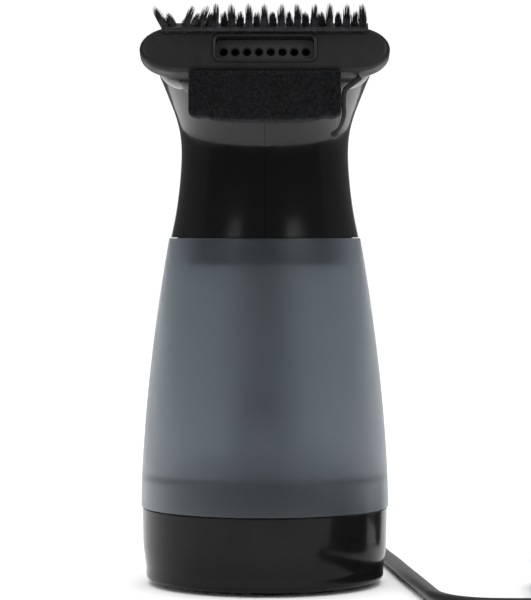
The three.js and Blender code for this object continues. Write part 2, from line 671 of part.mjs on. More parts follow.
function valveSpring() {
  const turns = 4;
  const start = valve.back + 0.8;
  const end = rod.collar - 0.8;
  const radius = rod.radius + 1.2;
  const points = Array.from({ length: turns * 8 + 1 }, (_, i) => {
    const angle = (i / 8) * 2 * Math.PI;
    return [radius * Math.cos(angle), start + ((end - start) * i) / (turns * 8), rod.height + radius * Math.sin(angle)];
  });
  return swept(curveThrough(points), ellipse(0.5, 0.5, 4), turns * 8);
}
piece("valve_spring", valveSpring(), looks.steel, steamer);

// The trigger's side view, from its pivot: back and up.
const triggerOutline = [
  [-4.7, 13.6], [-3, 13.6], [2.4, 6], [3, -1], [-1.6, -8], [-3, -38], [-7, -40.2], [-10, -39], [-12.4, -30],
  [-13, -18], [-11.4, -9], [-7, -1.6], [-4.7, 4],
];
function triggerLever() {
  const outline = triggerOutline.map(([y, z]) => new THREE.Vector2(trigger.pivotBack + y, trigger.pivotHeight + z));
  const geometry = new THREE.ExtrudeGeometry(new THREE.Shape(outline), {
    depth: 2 * trigger.halfWidth - 2,
    bevelThickness: 1,
    bevelSize: 1,
    bevelOffset: -1,
    bevelSegments: 1,
  });
  geometry.translate(0, 0, 1 - trigger.halfWidth);
  // Local X, Y and Z become Y, Z and X.
  geometry.applyMatrix4(new THREE.Matrix4().set(0, 0, 1, 0, 1, 0, 0, 0, 0, 1, 0, 0, 0, 0, 0, 1));
  return solid(geometry).subtract(cylinderX(trigger.pin + GAP, -12, 12, trigger.pivotBack, trigger.pivotHeight, 12));
}
piece("trigger", triggerLever(), looks.matteBlack, steamer);
piece("trigger_pin", cylinderX(trigger.pin, -12, 12, trigger.pivotBack, trigger.pivotHeight, 12), looks.steel, housing);

const lockEnd = lock.reach - lock.travel;
piece("lock_button", cylinderX(lock.radius, -lock.reach, lockEnd, lock.back, lock.height, 14), looks.matteBlack, steamer);

// ---------------------------------------------------------------- power switch and pilot lens

function switchSlider() {
  const { front, length, halfWidth } = powerSwitch;
  const knob = block([-halfWidth, halfWidth], [front, front + length], [sliderPlate.low, above(77.7)]);
  const plate = block([-sliderPlate.halfWidth, sliderPlate.halfWidth], [front - 4, front + length + 4],
    [sliderPlate.low, sliderPlate.high]);
  const grooves = [1.5, 3, 4.5].map((y) => block([-9, 9], [front + y - 0.35, front + y + 0.35],
    [above(77.1), above(79.7)]));
  return without(joined(knob, plate), ...grooves);
}
piece("power_slider", switchSlider(), looks.matteBlack, steamer);
piece("switch_body", block([-5.5, 5.5], [powerSwitch.front - 1, powerSwitch.front + 14],
  [above(63.2), above(68.9)]),
  looks.innerPlastic, housing);
const lensProfile = [[0, lens.low], [lens.radius, lens.low], [lens.radius, lens.top - 1], [lens.radius - 1, lens.top - 0.2],
  [0, lens.top]];
piece("pilot_lens", turned(lensProfile, 14), looks.lens, housing).position.set(0, lens.back, 0);

// ---------------------------------------------------------------- steam head: plate, chamber and hose

const plateThick = 2;
const chamber = { halfWidth: mouth.halfWidth - 17, halfHeight: mouth.halfHeight - 3, back: -13, wall: 1.6, portX: 12, port: 3.6, portEnd: -18 };

function steamPlate() {
  const plate = slab(oval(mouth.halfWidth - WALL - GAP, mouth.halfHeight - WALL - GAP), -plateThick, 0);
  const cuts = Array.from({ length: holes.count }, (_, i) =>
    cylinderZ(holes.radius, -5, 5, (i - (holes.count - 1) / 2) * holes.pitch, 0, 12));
  return without(plate, ...cuts);
}

function steamChamber() {
  const { halfWidth, halfHeight, back, wall, portX, port, portEnd } = chamber;
  return without(
    joined(
      slab(oval(halfWidth, halfHeight), back, -plateThick - GAP),
      cylinderZ(port, portEnd, back + 1, portX, 0, 12),
    ),
    slab(oval(halfWidth - wall, halfHeight - wall), back + wall, 5),
    cylinderZ(port - 1.2, portEnd - 1, back + 3, portX, 0, 10),
  );
}

const headPieces = new THREE.Group(); // the fixed pieces in the head's frame
headPieces.position.copy(brushHead.position);
headPieces.rotation.copy(brushHead.rotation);
housing.add(headPieces);
piece("steam_plate", steamPlate(), looks.matteBlack, headPieces);
piece("steam_chamber", steamChamber(), looks.innerPlastic, headPieces);

const fromHead = (x, y, z) => new THREE.Vector3(x, y, z).applyMatrix4(brushHead.matrix).toArray();
const hosePath = curveThrough([
  [11 + GAP, riser.back + 3, rod.height],
  [13 + GAP, riser.back + 3, rod.height],
  [20, riser.back + 1, rod.height],
  [25, riser.back - 10, rod.height + 1],
  [26, -8, rod.height + 3],
  [21, -25, rod.height + 6],
  fromHead(chamber.portX + 3, -1, chamber.portEnd - 11),
  fromHead(chamber.portX, 0, chamber.portEnd - 2 - GAP),
  fromHead(chamber.portX, 0, chamber.portEnd - GAP),
]);
piece("steam_hose", swept(hosePath, ellipse(4, 4, 8), 14), looks.silicone, housing);

// ---------------------------------------------------------------- fabric brush that clips over the mouth

function brushFrame() {
  const body = slab(oval(brush.halfWidth, brush.halfHeight, brush.endLength, 28), -brush.skirt, brush.front, brush.bevel);
  const backing = new THREE.Shape();
  const { halfWidth, bottom, corner, chin } = apron;
  backing.moveTo(-halfWidth, -2);
  backing.lineTo(-halfWidth, -bottom + corner);
  backing.absarc(-halfWidth + corner, -bottom + corner, corner, Math.PI, 1.5 * Math.PI);
  backing.quadraticCurveTo(0, -bottom - 2 * chin, halfWidth - corner, -bottom);
  backing.absarc(halfWidth - corner, -bottom + corner, corner, -Math.PI / 2, 0);
  backing.lineTo(halfWidth, -2);
  const plate = slab(backing, brush.front - 1.2 - apron.thick, brush.front - 1.2);
  const cavity = slab(oval(mouth.halfWidth + GAP, mouth.halfHeight + GAP), -brush.skirt - 5, GAP);
  const window = slab(roundedRectangle(slot.halfWidth, -slot.halfHeight, slot.halfHeight, slot.corner), -2, brush.front + 2);
  return without(joined(body, plate), cavity, window);
}

// The bar that holds the tufts, as [up, forward] points, and the rows of tufts that stand on its slope.
const bar = { top: brush.halfHeight + 1.5, shelf: brush.halfHeight - 1.4, low: brush.halfHeight - 3.2 };
const barProfile = [[bar.shelf, brush.front - 3.4], [bar.top, brush.front - 3.4], [bar.top, brush.front - 1.2],
  [brush.halfHeight - 1.6, brush.front + 2.4], [bar.low, brush.front + 2.4], [bar.low, brush.front + GAP],
  [bar.shelf, brush.front + GAP]];
const tuftRows = [
  { up: brush.halfHeight - 2.2, forward: brush.front + 1.9, lean: 25, length: 9.6, shift: 0.5 },
  { up: brush.halfHeight - 0.8, forward: brush.front + 1, lean: 50, length: 8.8, shift: 0 },
  { up: brush.halfHeight + 0.6, forward: brush.front - 0.6, lean: 72, length: 6.8, shift: 0.5 },
];

function bristleStrip() {
  const outline = barProfile.map(([up, forward]) => new THREE.Vector2(up, forward));
  const strip = new THREE.ExtrudeGeometry(new THREE.Shape(outline), { depth: 2 * bristles.halfWidth, bevelEnabled: false });
  strip.translate(0, 0, -bristles.halfWidth);
  // Local X, Y and Z become Y, Z and X.
  strip.applyMatrix4(new THREE.Matrix4().set(0, 0, 1, 0, 1, 0, 0, 0, 0, 1, 0, 0, 0, 0, 0, 1));
  const tufts = tuftRows.flatMap(({ up, forward, lean, length, shift }) =>
    Array.from({ length: bristles.count - Math.ceil(shift) }, (_, i) => {
      const x = (i - (bristles.count - 1) / 2 + shift) * bristles.pitch;
      const angle = THREE.MathUtils.degToRad(lean);
      const tuft = new THREE.CylinderGeometry(1.4, 1.8, length + 1, 4).translate(0, (length - 1) / 2, 0);
      tuft.rotateX(Math.PI / 2 - angle);
      return solid(tuft.translate(x, up, forward));
    }));
  return joined(solid(strip), ...tufts);
}

const padLow = -apron.bottom;
const padHigh = -brush.halfHeight - GAP;
const padBack = brush.front - 1.2 + GAP;

function lintPad() {
  const outline = roundedRectangle(apron.halfWidth - 0.2, padLow + 0.2, padHigh, apron.corner - 0.6);
  return slab(outline, padBack, padBack + apron.pile, 0.8);
}

// A thin moulded strap that hangs from the frame's underside and hooks back under the pad's corner.
function retainingStrap() {
  const side = apron.halfWidth;
  const low = -apron.bottom;
  const bulbAt = [side - 2.8, low - 4.8, brush.front - 9.5];
  const path = curveThrough([
    [side + 7.8, -brush.halfHeight - 0.6, brush.front - 7],
    [side + 4.2, -brush.halfHeight - 3.8, brush.front - 6.5],
    [side + 1.6, -brush.halfHeight - 6.8, brush.front - 5],
    [side + 1, low + 7.2, brush.front - 4],
    [side + 1.1, low + 2.2, brush.front - 4.4],
    [side - 0.2, low - 1.8, brush.front - 6.6],
    bulbAt,
  ]);
  const tail = swept(path, ellipse(0.8, 0.8, 6), 11);
  const bulb = solid(new THREE.SphereGeometry(1.5, 8, 6).translate(...bulbAt));
  return joined(tail, bulb);
}

const frameShape = brushFrame();
piece("brush_frame", frameShape, looks.matteBlack, brushHead);
const stripSolid = bristleStrip().subtract(slab(oval(brush.halfWidth + GAP, brush.halfHeight + GAP, brush.endLength, 28),
  -brush.skirt - GAP, brush.front + GAP, brush.bevel));
piece("bristle_strip", stripSolid.decompose().sort((a, b) => b.volume() - a.volume())[0], looks.bristle, brushHead);
piece("lint_pad", lintPad(), looks.pile, brushHead);
piece("retaining_strap", retainingStrap(), looks.rubber, brushHead);

// ---------------------------------------------------------------- strain relief, cord, hank and plug

function strainRelief() {
  const long = new THREE.Vector3(...relief.to).distanceTo(new THREE.Vector3(...relief.from));
  const profile = [[0, 0], [relief.flange, 0], [relief.flange, 2.4], [relief.radius, 2.4], [relief.radius, 9],
    [relief.tipRadius, long], [0, long]];
  return aimed(turned(profile, 16), relief.from, relief.to);
}
piece("strain_relief", strainRelief(), looks.rubber, steamer);

const reliefDirection = new THREE.Vector3(...relief.to).sub(new THREE.Vector3(...relief.from)).normalize();
const cordStart = new THREE.Vector3(...relief.to).addScaledVector(reliefDirection, GAP).toArray();
const floorLevel = cord.radius + 0.15;

// The run from the strain relief, round behind the steamer, along its right side and into the hank's front.
const cordRun = [
  cordStart,
  [0, 93, 15.3],
  [2.1, 103.3, 10],
  [7.9, 112.1, 6.3],
  [16.7, 117.9, 4.1],
  [27, 120, floorLevel + 0.1],
  [36.8, 118, floorLevel],
  [45, 112.2, floorLevel],
  [50.4, 103.6, floorLevel],
  [52.6, 92, floorLevel],
  [54.5, 70, floorLevel],
  [58, 38, floorLevel],
  [61.3, 4, floorLevel],
  [64.6, -28, floorLevel],
  [67.6, -58, floorLevel],
  [69.3, -72, floorLevel],
  [72.4, -81.4, floorLevel],
  [78.3, -89.4, floorLevel],
  [86.6, -94.1, floorLevel],
  [96.4, -95.5, floorLevel],
  [110, -95.5, floorLevel],
  [122.4, -95.5, floorLevel],
];
piece("mains_cord", swept(curveThrough(cordRun), ellipse(cord.radius, cord.radius, cord.tubeSides), 44),
  looks.cordSheath, steamer);

// The rest of the cord, wound into an oval hank of straight runs and round ends.
function hankOutline(radius, path) {
  path.moveTo(radius, -hank.halfRun);
  path.lineTo(radius, hank.halfRun);
  path.absarc(0, hank.halfRun, radius, 0, Math.PI);
  path.lineTo(-radius, -hank.halfRun);
  path.absarc(0, -hank.halfRun, radius, Math.PI, 2 * Math.PI);
  return path;
}
const hankHeight = hank.layers * 2 * cord.radius;
const hankShape = hankOutline(hank.outerTurn + cord.radius, new THREE.Shape());
hankShape.holes.push(hankOutline(hank.innerTurn - cord.radius, new THREE.Path()));
const hankSolid = solid(new THREE.ExtrudeGeometry(hankShape, { depth: hankHeight, curveSegments: 12, bevelEnabled: false }));
piece("cord_hank", hankSolid, looks.cordSheath, steamer).position.set(hank.x, hank.y, 0);

const plugLevel = plug.radius;
const plugFront = plug.back - plug.bodyLength;
const plugNose = 12; // the plug's own tapered sleeve
const topLevel = hankHeight + GAP + cord.radius;
const cordTail = [
  [159.9, -39, topLevel],
  [158.6, -29, topLevel],
  [154.9, -18, topLevel],
  [150, -7.5, topLevel],
  [145.4, 3, topLevel],
  [142.2, 12, 21.4],
  [141.4, 20, 19.9],
  [141.3, 27, 18.2],
  [plug.x, plugFront - plugNose - 3 - GAP, plugLevel],
  [plug.x, plugFront - plugNose - GAP, plugLevel],
];
piece("cord_tail", swept(curveThrough(cordTail), ellipse(cord.radius, cord.radius, cord.tubeSides), 14),
  looks.cordSheath, steamer);

function plugBody() {
  const profile = [[0, -plugNose], [4.2, -plugNose], [5.4, 0], [10, 3], [14.5, 8], [plug.radius - 1, 14],
    [plug.radius, 20], [plug.radius, plug.bodyLength - 1], [plug.radius - 1, plug.bodyLength], [0, plug.bodyLength]];
  const from = [plug.x, plugFront, plugLevel];
  return aimed(turned(profile, 18), from, [plug.x, plug.back, plugLevel]);
}
piece("plug_body", plugBody(), looks.rubber, steamer);
for (const [name, side] of [["plug_pin_left", -1], ["plug_pin_right", 1]]) {
  const x = plug.x + (side * plug.pinSpacing) / 2;
  piece(name, cylinderY(plug.pinRadius, plug.back + GAP, plug.back + plug.pinLength, x, plugLevel, 12), looks.brass, steamer);
}

// ---------------------------------------------------------------- origin

// The cord and plug don't count towards the footprint that the origin is the middle of.
const cordNames = new Set(["strain_relief", "mains_cord", "cord_hank", "cord_tail", "plug_body", "plug_pin_left",
  "plug_pin_right"]);
const footprint = new THREE.Box3();
steamer.updateMatrixWorld(true);
steamer.traverse((object) => {
  if (object.isMesh && !cordNames.has(object.name)) footprint.expandByObject(object, true);
});
steamer.position.y = -(footprint.min.y + footprint.max.y) / 2;
steamer.position.x = -(footprint.min.x + footprint.max.x) / 2;

export default steamer;
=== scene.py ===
"""Handheld garment steamer: the looks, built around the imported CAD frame.

Shapes are made in millimetres about the axis of the round body (front is -Y, the floor is z = 0), and
raw_object() places them in the frame, in metres. Some sizes come from the frame's boxes of the CAD nodes.
"""

import math

import bmesh
import bpy
import numpy as np
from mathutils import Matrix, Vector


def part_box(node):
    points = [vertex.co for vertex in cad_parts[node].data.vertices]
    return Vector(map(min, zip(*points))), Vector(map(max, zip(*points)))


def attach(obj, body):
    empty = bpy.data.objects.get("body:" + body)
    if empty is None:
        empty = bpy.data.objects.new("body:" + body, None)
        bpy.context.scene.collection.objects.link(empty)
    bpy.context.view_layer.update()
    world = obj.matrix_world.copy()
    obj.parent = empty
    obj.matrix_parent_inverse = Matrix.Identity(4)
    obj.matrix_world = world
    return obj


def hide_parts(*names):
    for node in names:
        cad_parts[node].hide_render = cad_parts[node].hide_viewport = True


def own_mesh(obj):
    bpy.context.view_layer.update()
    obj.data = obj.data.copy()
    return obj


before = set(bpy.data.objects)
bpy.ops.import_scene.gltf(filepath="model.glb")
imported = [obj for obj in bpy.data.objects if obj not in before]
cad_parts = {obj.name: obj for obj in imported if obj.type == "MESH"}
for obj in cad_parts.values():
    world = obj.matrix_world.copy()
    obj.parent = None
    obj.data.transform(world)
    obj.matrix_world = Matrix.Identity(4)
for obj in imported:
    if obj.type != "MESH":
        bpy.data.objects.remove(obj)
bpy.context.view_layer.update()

MM = 0.001
BASE_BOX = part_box("base_shell")
AXIS_Y = (BASE_BOX[0].y + BASE_BOX[1].y) / 2  # where the body's axis stands in the frame
SEED = 7
random = np.random.default_rng(SEED)


def box_of(node):
    """The lowest and highest corner of a CAD node, in millimetres about the body's axis."""
    low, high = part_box(node)
    shift = np.array([0, AXIS_Y, 0])
    return (np.array(low) - shift) / MM, (np.array(high) - shift) / MM


def place(points):
    """Points in millimetres about the body's axis, as metres in the frame."""
    return np.asarray(points, float).reshape(-1, 3) * MM + [0, AXIS_Y, 0]


def linked(thing):
    bpy.context.scene.collection.objects.link(thing)
    return thing


def span_of(node):
    """A CAD node's lowest and highest corner, and its middle."""
    low, high = box_of(node)
    return low, high, (low + high) / 2


def on_circle(radius, turn):
    return radius * math.cos(turn), radius * math.sin(turn)


def ring_spots(count, radius):
    """Evenly spaced places on a circle, the first half a step from +X."""
    return [on_circle(radius, (i + 0.5) / count * 2 * math.pi) for i in range(count)]


# ---- driving sizes, in millimetres

GAP = 0.3
WALL = 2.2
TANK = {"bottom": box_of("water_tank")[0][2], "top": box_of("water_tank")[1][2], "low_radius": 53.2,
        "top_radius": 41.0, "swell": 1.65, "floor": 45.0, "floor_thick": 2.5}
BASE = {"top": 33.0, "top_radius": 52.6, "low_radius": 51.0, "bottom": 1.8, "corner": 5.5, "cover": 44.2}
HEAD = {"at": np.array([0, -62.0, 224.0]), "tilt": math.radians(15)}
HANDLE = {"half_width": 15.5, "half_thick": 11.5, "foot": 50.0}
LID = {"radius": 18.7, "y": -4.0, "hinge_y": 18.4, "hinge_z": 233.2, "knuckle": 2.2, "pin": 1.1}
TRIGGER = {"pivot": (84.0, 196.0), "pin": 1.5}
ROD_HEIGHT = 208.0
RELIEF = {"from": np.array([0, 69.0, 29.0]), "to": np.array([0, 90.0, 17.0]), "radius": 5.2, "tip": 3.7}
CORD_RADIUS = 3.1
HANK = {"x": 141.3, "y": -44.6, "half_run": 26.0, "inner": 18.6, "outer": 24.9}
PLUG = {"x": HANK["x"], "front": 48.0, "level": 17.5, "radius": 17.5}

# Height, half width, reach to the front and reach to the rear of the neck.
NECK = np.array([
    [140, 42.6, 42.6, 42.6], [148.6, 40.4, 40.4, 40.4], [160, 38, 38, 37.6], [173, 36.3, 36.7, 35.5],
    [185, 35.7, 37.3, 34.4], [193, 36.3, 40, 33.8], [200, 38, 44.4, 33.6], [207, 40.6, 49.6, 33.6],
    [213, 43, 54.4, 33.6], [219, 45.2, 57.6, 33.2], [225, 44.8, 57, 31.8], [229.6, 41.2, 52.2, 29],
    [232.4, 35, 44, 24.4], [233.6, 26, 32, 18],
])
# Distance along the head's axis, half width and half height of the mouth.
MOUTH_STATIONS = np.array([[-27, 38.6, 8.2], [-18, 44, 9.5], [-10, 44.2, 9.2], [-7, 43, 8], [4, 43, 8]])
HANDLE_PATH = [(16, 212.5), (38, 213), (58, 212.5), (75, 206), (85.5, 191), (88.5, 170), (88, 140), (86, 105),
               (82, 72), (74, 44), (62, 25), (46, 17.5)]


def tank_radius(height):
    """The tank's outer radius at a height."""
    share = min(1, max(0, (height - TANK["bottom"]) / (TANK["top"] - TANK["bottom"])))
    return TANK["low_radius"] - (TANK["low_radius"] - TANK["top_radius"]) * share ** TANK["swell"]


# ---- camera, light and floor


CAMERA = {"at": (0.0003, AXIS_Y - 1.142, 0.1506), "tilt": 1.449, "lens": 159.4}
CARDS = [  # name, radius, angles from the front, heights in metres, radiance, rise of the lower edge
    ("front_card", 0.42, (-80, 80), (0.0, 1.2), 0.05, 0.09),
    ("left_card", 0.42, (-175, -80), (0.0, 1.2), 0.1, 0.09),
    ("right_card", 0.42, (80, 175), (0.0, 1.2), 0.12, 0.09),
    ("left_softbox", 0.4, (-46, -32), (0.349, 0.42), 14.0),
    ("right_softbox", 0.4, (28, 52), (0.349, 0.42), 14.0),
]


def make_camera():
    camera = linked(bpy.data.objects.new("camera", bpy.data.cameras.new("camera")))
    camera.location = CAMERA["at"]
    camera.rotation_euler = (math.radians(90 - CAMERA["tilt"]), 0, 0)
    camera.data.lens = CAMERA["lens"]
    camera.data.sensor_width = 36
    camera.data.clip_start = 0.01
    bpy.context.scene.camera = camera


def glow(name, radiance):
    """A plain emitting material for the studio's cards and softboxes."""
    material = bpy.data.materials.new(name)
    material.use_nodes = True
    nodes = material.node_tree.nodes
    nodes.clear()
    emission = nodes.new("ShaderNodeEmission")
    emission.inputs["Color"].default_value = (radiance, radiance, radiance, 1)
    output = nodes.new("ShaderNodeOutputMaterial")
    material.node_tree.links.new(emission.outputs[0], output.inputs[0])
    return material


def studio_card(name, radius, angles, heights, radiance, rise=0.0):
    """An upright curved card round the object, between two angles from its front, that only reflections see.

    Its lower edge rises smoothly, by rise at the object's sides."""
    turns = np.radians(np.linspace(*angles, 48))
    ring = [(radius * math.sin(t), AXIS_Y - radius * math.cos(t)) for t in turns]
    low = [(x, y, heights[0] + rise * (1 - math.cos(t))) for (x, y), t in zip(ring, turns)]
    mesh = bpy.data.meshes.new(name)
    mesh.from_pydata(low + [(x, y, heights[1]) for x, y in ring], [],
                     grid_faces(2, len(turns), wrap_columns=False))
    mesh.materials.append(glow(name, radiance))
    card = linked(bpy.data.objects.new(name, mesh))
    for rays in ("camera", "shadow", "diffuse", "transmission"):
        setattr(card, "visible_" + rays, False)


def make_studio():
    """White surroundings, a pale floor, dark cards in front for the gloss and two softboxes above them."""
    scene = bpy.context.scene
    scene.view_settings.view_transform = "Standard"
    world = bpy.data.worlds.new("white_studio")
    world.use_nodes = True
    world.node_tree.nodes["Background"].inputs["Color"].default_value = (1, 1, 1, 1)
    world.node_tree.nodes["Background"].inputs["Strength"].default_value = 1.03
    scene.world = world
    bpy.ops.mesh.primitive_plane_add(size=60, location=(0, 0, 0))
    floor = bpy.context.object
    floor.name = "floor"
    floor.data.materials.append(Paint("pale_floor", (0.985, 0.985, 0.985), 0.9,
                                      Specular_IOR_Level=0.1).material)
    for card in CARDS:
        studio_card(*card)
    lamp = linked(bpy.data.objects.new("overhead", bpy.data.lights.new("overhead", "AREA")))
    lamp.data.energy = 16
    lamp.data.size = 1.4
    lamp.location = (0, AXIS_Y + 0.1, 1.5)
    lamp.visible_glossy = False


# ---- materials


NOISE_MIDDLE = (0.35, 0.65)  # the part of a noise that its two ends are mapped to


class Paint:
    """A principled material and short ways to add texture to it, in the object's own coordinates."""

    def __init__(self, name, color, roughness, **sockets):
        self.material = bpy.data.materials.new(name)
        self.material.use_nodes = True
        self.nodes = self.material.node_tree.nodes
        self.shader = self.nodes["Principled BSDF"]
        self.coordinates = self.nodes.new("ShaderNodeTexCoord").outputs["Object"]
        self.bump_normal = None
        self.set("Base Color", (*color, 1))
        self.set("Roughness", roughness)
        for socket, value in sockets.items():
            self.set(socket.replace("_", " "), value)

    def set(self, socket, value):
        self.shader.inputs[socket].default_value = value

    def link(self, source, target):
        self.material.node_tree.links.new(source, target)

    def texture(self, scale, stretch=(1, 1, 1), detail=3.0):
        """A noise with so many features to a metre, stretched along the axes."""
        mapping = self.nodes.new("ShaderNodeMapping")
        mapping.inputs["Scale"].default_value = stretch
        texture = self.nodes.new("ShaderNodeTexNoise")
        texture.inputs["Scale"].default_value = scale
        texture.inputs["Detail"].default_value = detail
        self.link(self.coordinates, mapping.inputs["Vector"])
        self.link(mapping.outputs[0], texture.inputs["Vector"])
        return texture.outputs[0]

    def roughness(self, source, low, high):
        """The noise's middle range, mapped to two roughnesses."""
        node = self.nodes.new("ShaderNodeMapRange")
        for socket, value in zip(("From Min", "From Max", "To Min", "To Max"), (*NOISE_MIDDLE, low, high)):
            node.inputs[socket].default_value = value
        self.link(source, node.inputs["Value"])
        self.link(node.outputs["Result"], self.shader.inputs["Roughness"])
        return self

    def color(self, source, first, second):
        ramp = self.nodes.new("ShaderNodeValToRGB")
        for element, position, shade in zip(ramp.color_ramp.elements, NOISE_MIDDLE, (first, second)):
            element.position = position
            element.color = (*shade, 1)
        self.link(source, ramp.inputs["Fac"])
        self.link(ramp.outputs["Color"], self.shader.inputs["Base Color"])
        return self

    def tones(self, source, shade, dark, light):
        """A darker and a lighter tone of one shade."""
        return self.color(source, *[tuple(min(1, tone * c) for c in shade) for tone in (dark, light)])

    def bump(self, source, strength, depth_mm):
        node = self.nodes.new("ShaderNodeBump")
        node.inputs["Strength"].default_value = strength
        node.inputs["Distance"].default_value = depth_mm * MM
        self.link(source, node.inputs["Height"])
        if self.bump_normal:
            self.link(self.bump_normal, node.inputs["Normal"])
        self.bump_normal = node.outputs["Normal"]
        self.link(self.bump_normal, self.shader.inputs["Normal"])
        return self


def gloss_plastic(name, shade, roughness, coat, level):
    """Polished moulded plastic: faint flow marks in the polish, and fine handling marks in its gloss."""
    paint = Paint(name, shade, roughness, Coat_Weight=coat, Coat_Roughness=0.03, IOR=1.5,
                  Specular_IOR_Level=level)
    paint.tones(paint.texture(14, detail=4), shade, 0.8, 1.25)
    paint.roughness(paint.texture(90, (1, 1, 0.25), 5), roughness * 0.8, roughness * 1.35)
    return paint.bump(paint.texture(55, detail=2), 0.12, 0.04).material


def grained_plastic(name, shade, roughness, grain=1400):
    """Matt moulded plastic with a fine spark-eroded grain."""
    paint = Paint(name, shade, roughness, IOR=1.5, Specular_IOR_Level=0.32)
    paint.tones(paint.texture(30), shade, 0.85, 1.2)
    paint.roughness(paint.texture(200, detail=4), roughness * 0.88, min(1, roughness * 1.12))
    return paint.bump(paint.texture(grain, detail=4), 0.5, 0.05).material


def smoke_plastic():
    """Satin smoke-tinted polypropylene: light goes through it scattered, and near pieces show through it."""
    paint = Paint("smoke_plastic", (0.36, 0.395, 0.43), 0.42, Transmission_Weight=0.99, IOR=1.42,
                  Coat_Weight=0.3, Coat_Roughness=0.24, Sheen_Weight=0.06, Sheen_Roughness=0.8)
    paint.set("Sheen Tint", (0.3, 0.55, 0.9, 1))
    paint.color(paint.texture(9, (1, 1, 0.35), 2), (0.325, 0.356, 0.376), (0.345, 0.376, 0.396))
    paint.roughness(paint.texture(60, detail=4), 0.39, 0.45)
    return paint.bump(paint.texture(900, detail=3), 0.25, 0.02).material


def metal(name, shade, roughness, lines=(1, 1, 12), scale=160):
    """Machined or drawn metal, with fine lines along it."""
    paint = Paint(name, shade, roughness, Metallic=1.0)
    paint.tones(paint.texture(60), shade, 0.86, 1.1)
    paint.roughness(paint.texture(scale, lines, 5), roughness * 0.7, roughness * 1.3)
    return paint.bump(paint.texture(scale * 2, lines, 3), 0.3, 0.03).material


def rubber(name, shade, roughness, sheen=0.1):
    """Soft rubber: an even dull skin with a little bloom on it."""
    paint = Paint(name, shade, roughness, Sheen_Weight=sheen, Sheen_Roughness=0.5)
    paint.tones(paint.texture(50), shade, 0.8, 1.3)
    return paint.bump(paint.texture(1100, detail=4), 0.4, 0.05).material


def velour():
    """Short black pile, brushed in patches that catch the light differently."""
    paint = Paint("velour", (0.006, 0.0064, 0.007), 0.95, Sheen_Weight=0.3, Sheen_Roughness=0.35,
                  Specular_IOR_Level=0.1)
    paint.set("Sheen Tint", (0.3, 0.31, 0.33, 1))
    paint.color(paint.texture(700, (1, 1, 1), 5), (0.004, 0.0042, 0.0045), (0.011, 0.0114, 0.0125))
    paint.bump(paint.texture(420, (1, 1, 1), 4), 0.8, 0.4)
    return paint.bump(paint.texture(2600, detail=2), 0.6, 0.15).material


def filament():
    """Nylon bristle, darker towards some fibres than others."""
    paint = Paint("filament", (0.012, 0.0125, 0.014), 0.42, IOR=1.53)
    paint.color(paint.texture(700, (1, 1, 0.1), 3), (0.007, 0.0075, 0.008), (0.02, 0.021, 0.024))
    return paint.roughness(paint.texture(300), 0.34, 0.55).material


def lens_red():
    """A frosted red lens over the pilot light, unlit."""
    paint = Paint("pilot_lens_red", (0.35, 0.02, 0.015), 0.2, Transmission_Weight=0.5, IOR=1.49,
                  Coat_Weight=0.5, Coat_Roughness=0.08)
    paint.color(paint.texture(300), (0.28, 0.014, 0.01), (0.42, 0.03, 0.02))
    return paint.bump(paint.texture(800), 0.2, 0.05).material


def make_materials():
    return {
        "gloss_black": gloss_plastic("polished_black", (0.005, 0.005, 0.0052), 0.16, 0.06, 0.13),
        "gloss_graphite": gloss_plastic("polished_graphite", (0.005, 0.0053, 0.0056), 0.15, 0.25, 0.25),
        "smoke_tank": smoke_plastic(),
        "matte_black": grained_plastic("grained_black", (0.0105, 0.0108, 0.0115), 0.52),
        "bristle": filament(),
        "pile": velour(),
        "soft_rubber": rubber("black_rubber", (0.011, 0.011, 0.0115), 0.72),
        "silicone": rubber("pale_silicone", (0.42, 0.43, 0.43), 0.55, 0.2),
        "cast_aluminium": metal("cast_aluminium_skin", (0.55, 0.56, 0.57), 0.42, (1, 1, 1), 420),
        "bright_steel": metal("zinc_plated_steel", (0.56, 0.57, 0.58), 0.28),
        "brass": metal("turned_brass", (0.68, 0.47, 0.2), 0.3),
        "inner_plastic": grained_plastic("inner_grey", (0.032, 0.033, 0.035), 0.6, 900),
        "pilot_red": lens_red(),
        "cord_sheath": rubber("pvc_sheath", (0.0125, 0.0125, 0.013), 0.46, 0.05),
    }


# ---- shape tools, in millimetres


def catmull(points, per_span=12):
    """A centripetal Catmull-Rom curve through the points, sampled evenly between each two."""

    def mix(a, b, i, j):
        return (a * (t[j] - x) + b * (x - t[i])) / (t[j] - t[i])

    p = np.asarray(points, float)
    p = np.vstack([2 * p[0] - p[1], p, 2 * p[-1] - p[-2]])
    samples = []
    for a, b, c, d in zip(p, p[1:], p[2:], p[3:]):
        t = np.cumsum([0] + [max(1e-6, np.linalg.norm(v - u)) ** 0.5 for u, v in ((a, b), (b, c), (c, d))])
        for x in np.linspace(t[1], t[2], per_span, endpoint=False):
            ab, bc, cd = mix(a, b, 0, 1), mix(b, c, 1, 2), mix(c, d, 2, 3)
            samples.append(mix(mix(ab, bc, 0, 2), mix(bc, cd, 1, 3), 1, 2))
    return np.array(samples + [p[-2]])


def rounded(points, closed=False, steps=4):
    """An outline of (across, up) or (across, up, corner) points; a corner that has a size is rounded off."""
    result = []
    count = len(points)
    for i, point in enumerate(points):
        here = np.array(point[:2], float)
        corner = point[2] if len(point) > 2 else 0
        if not corner or (not closed and i in (0, count - 1)):
            result.append(here)
            continue
        before = np.array(points[i - 1][:2]) - here
        after = np.array(points[(i + 1) % count][:2]) - here
        size = min(corner, 0.48 * np.linalg.norm(before), 0.48 * np.linalg.norm(after))
        start = here + before * size / np.linalg.norm(before)
        end = here + after * size / np.linalg.norm(after)
        for t in np.linspace(0, 1, steps + 1):
            result.append((1 - t) ** 2 * start + 2 * t * (1 - t) * here + t * t * end)
    return np.array(result)


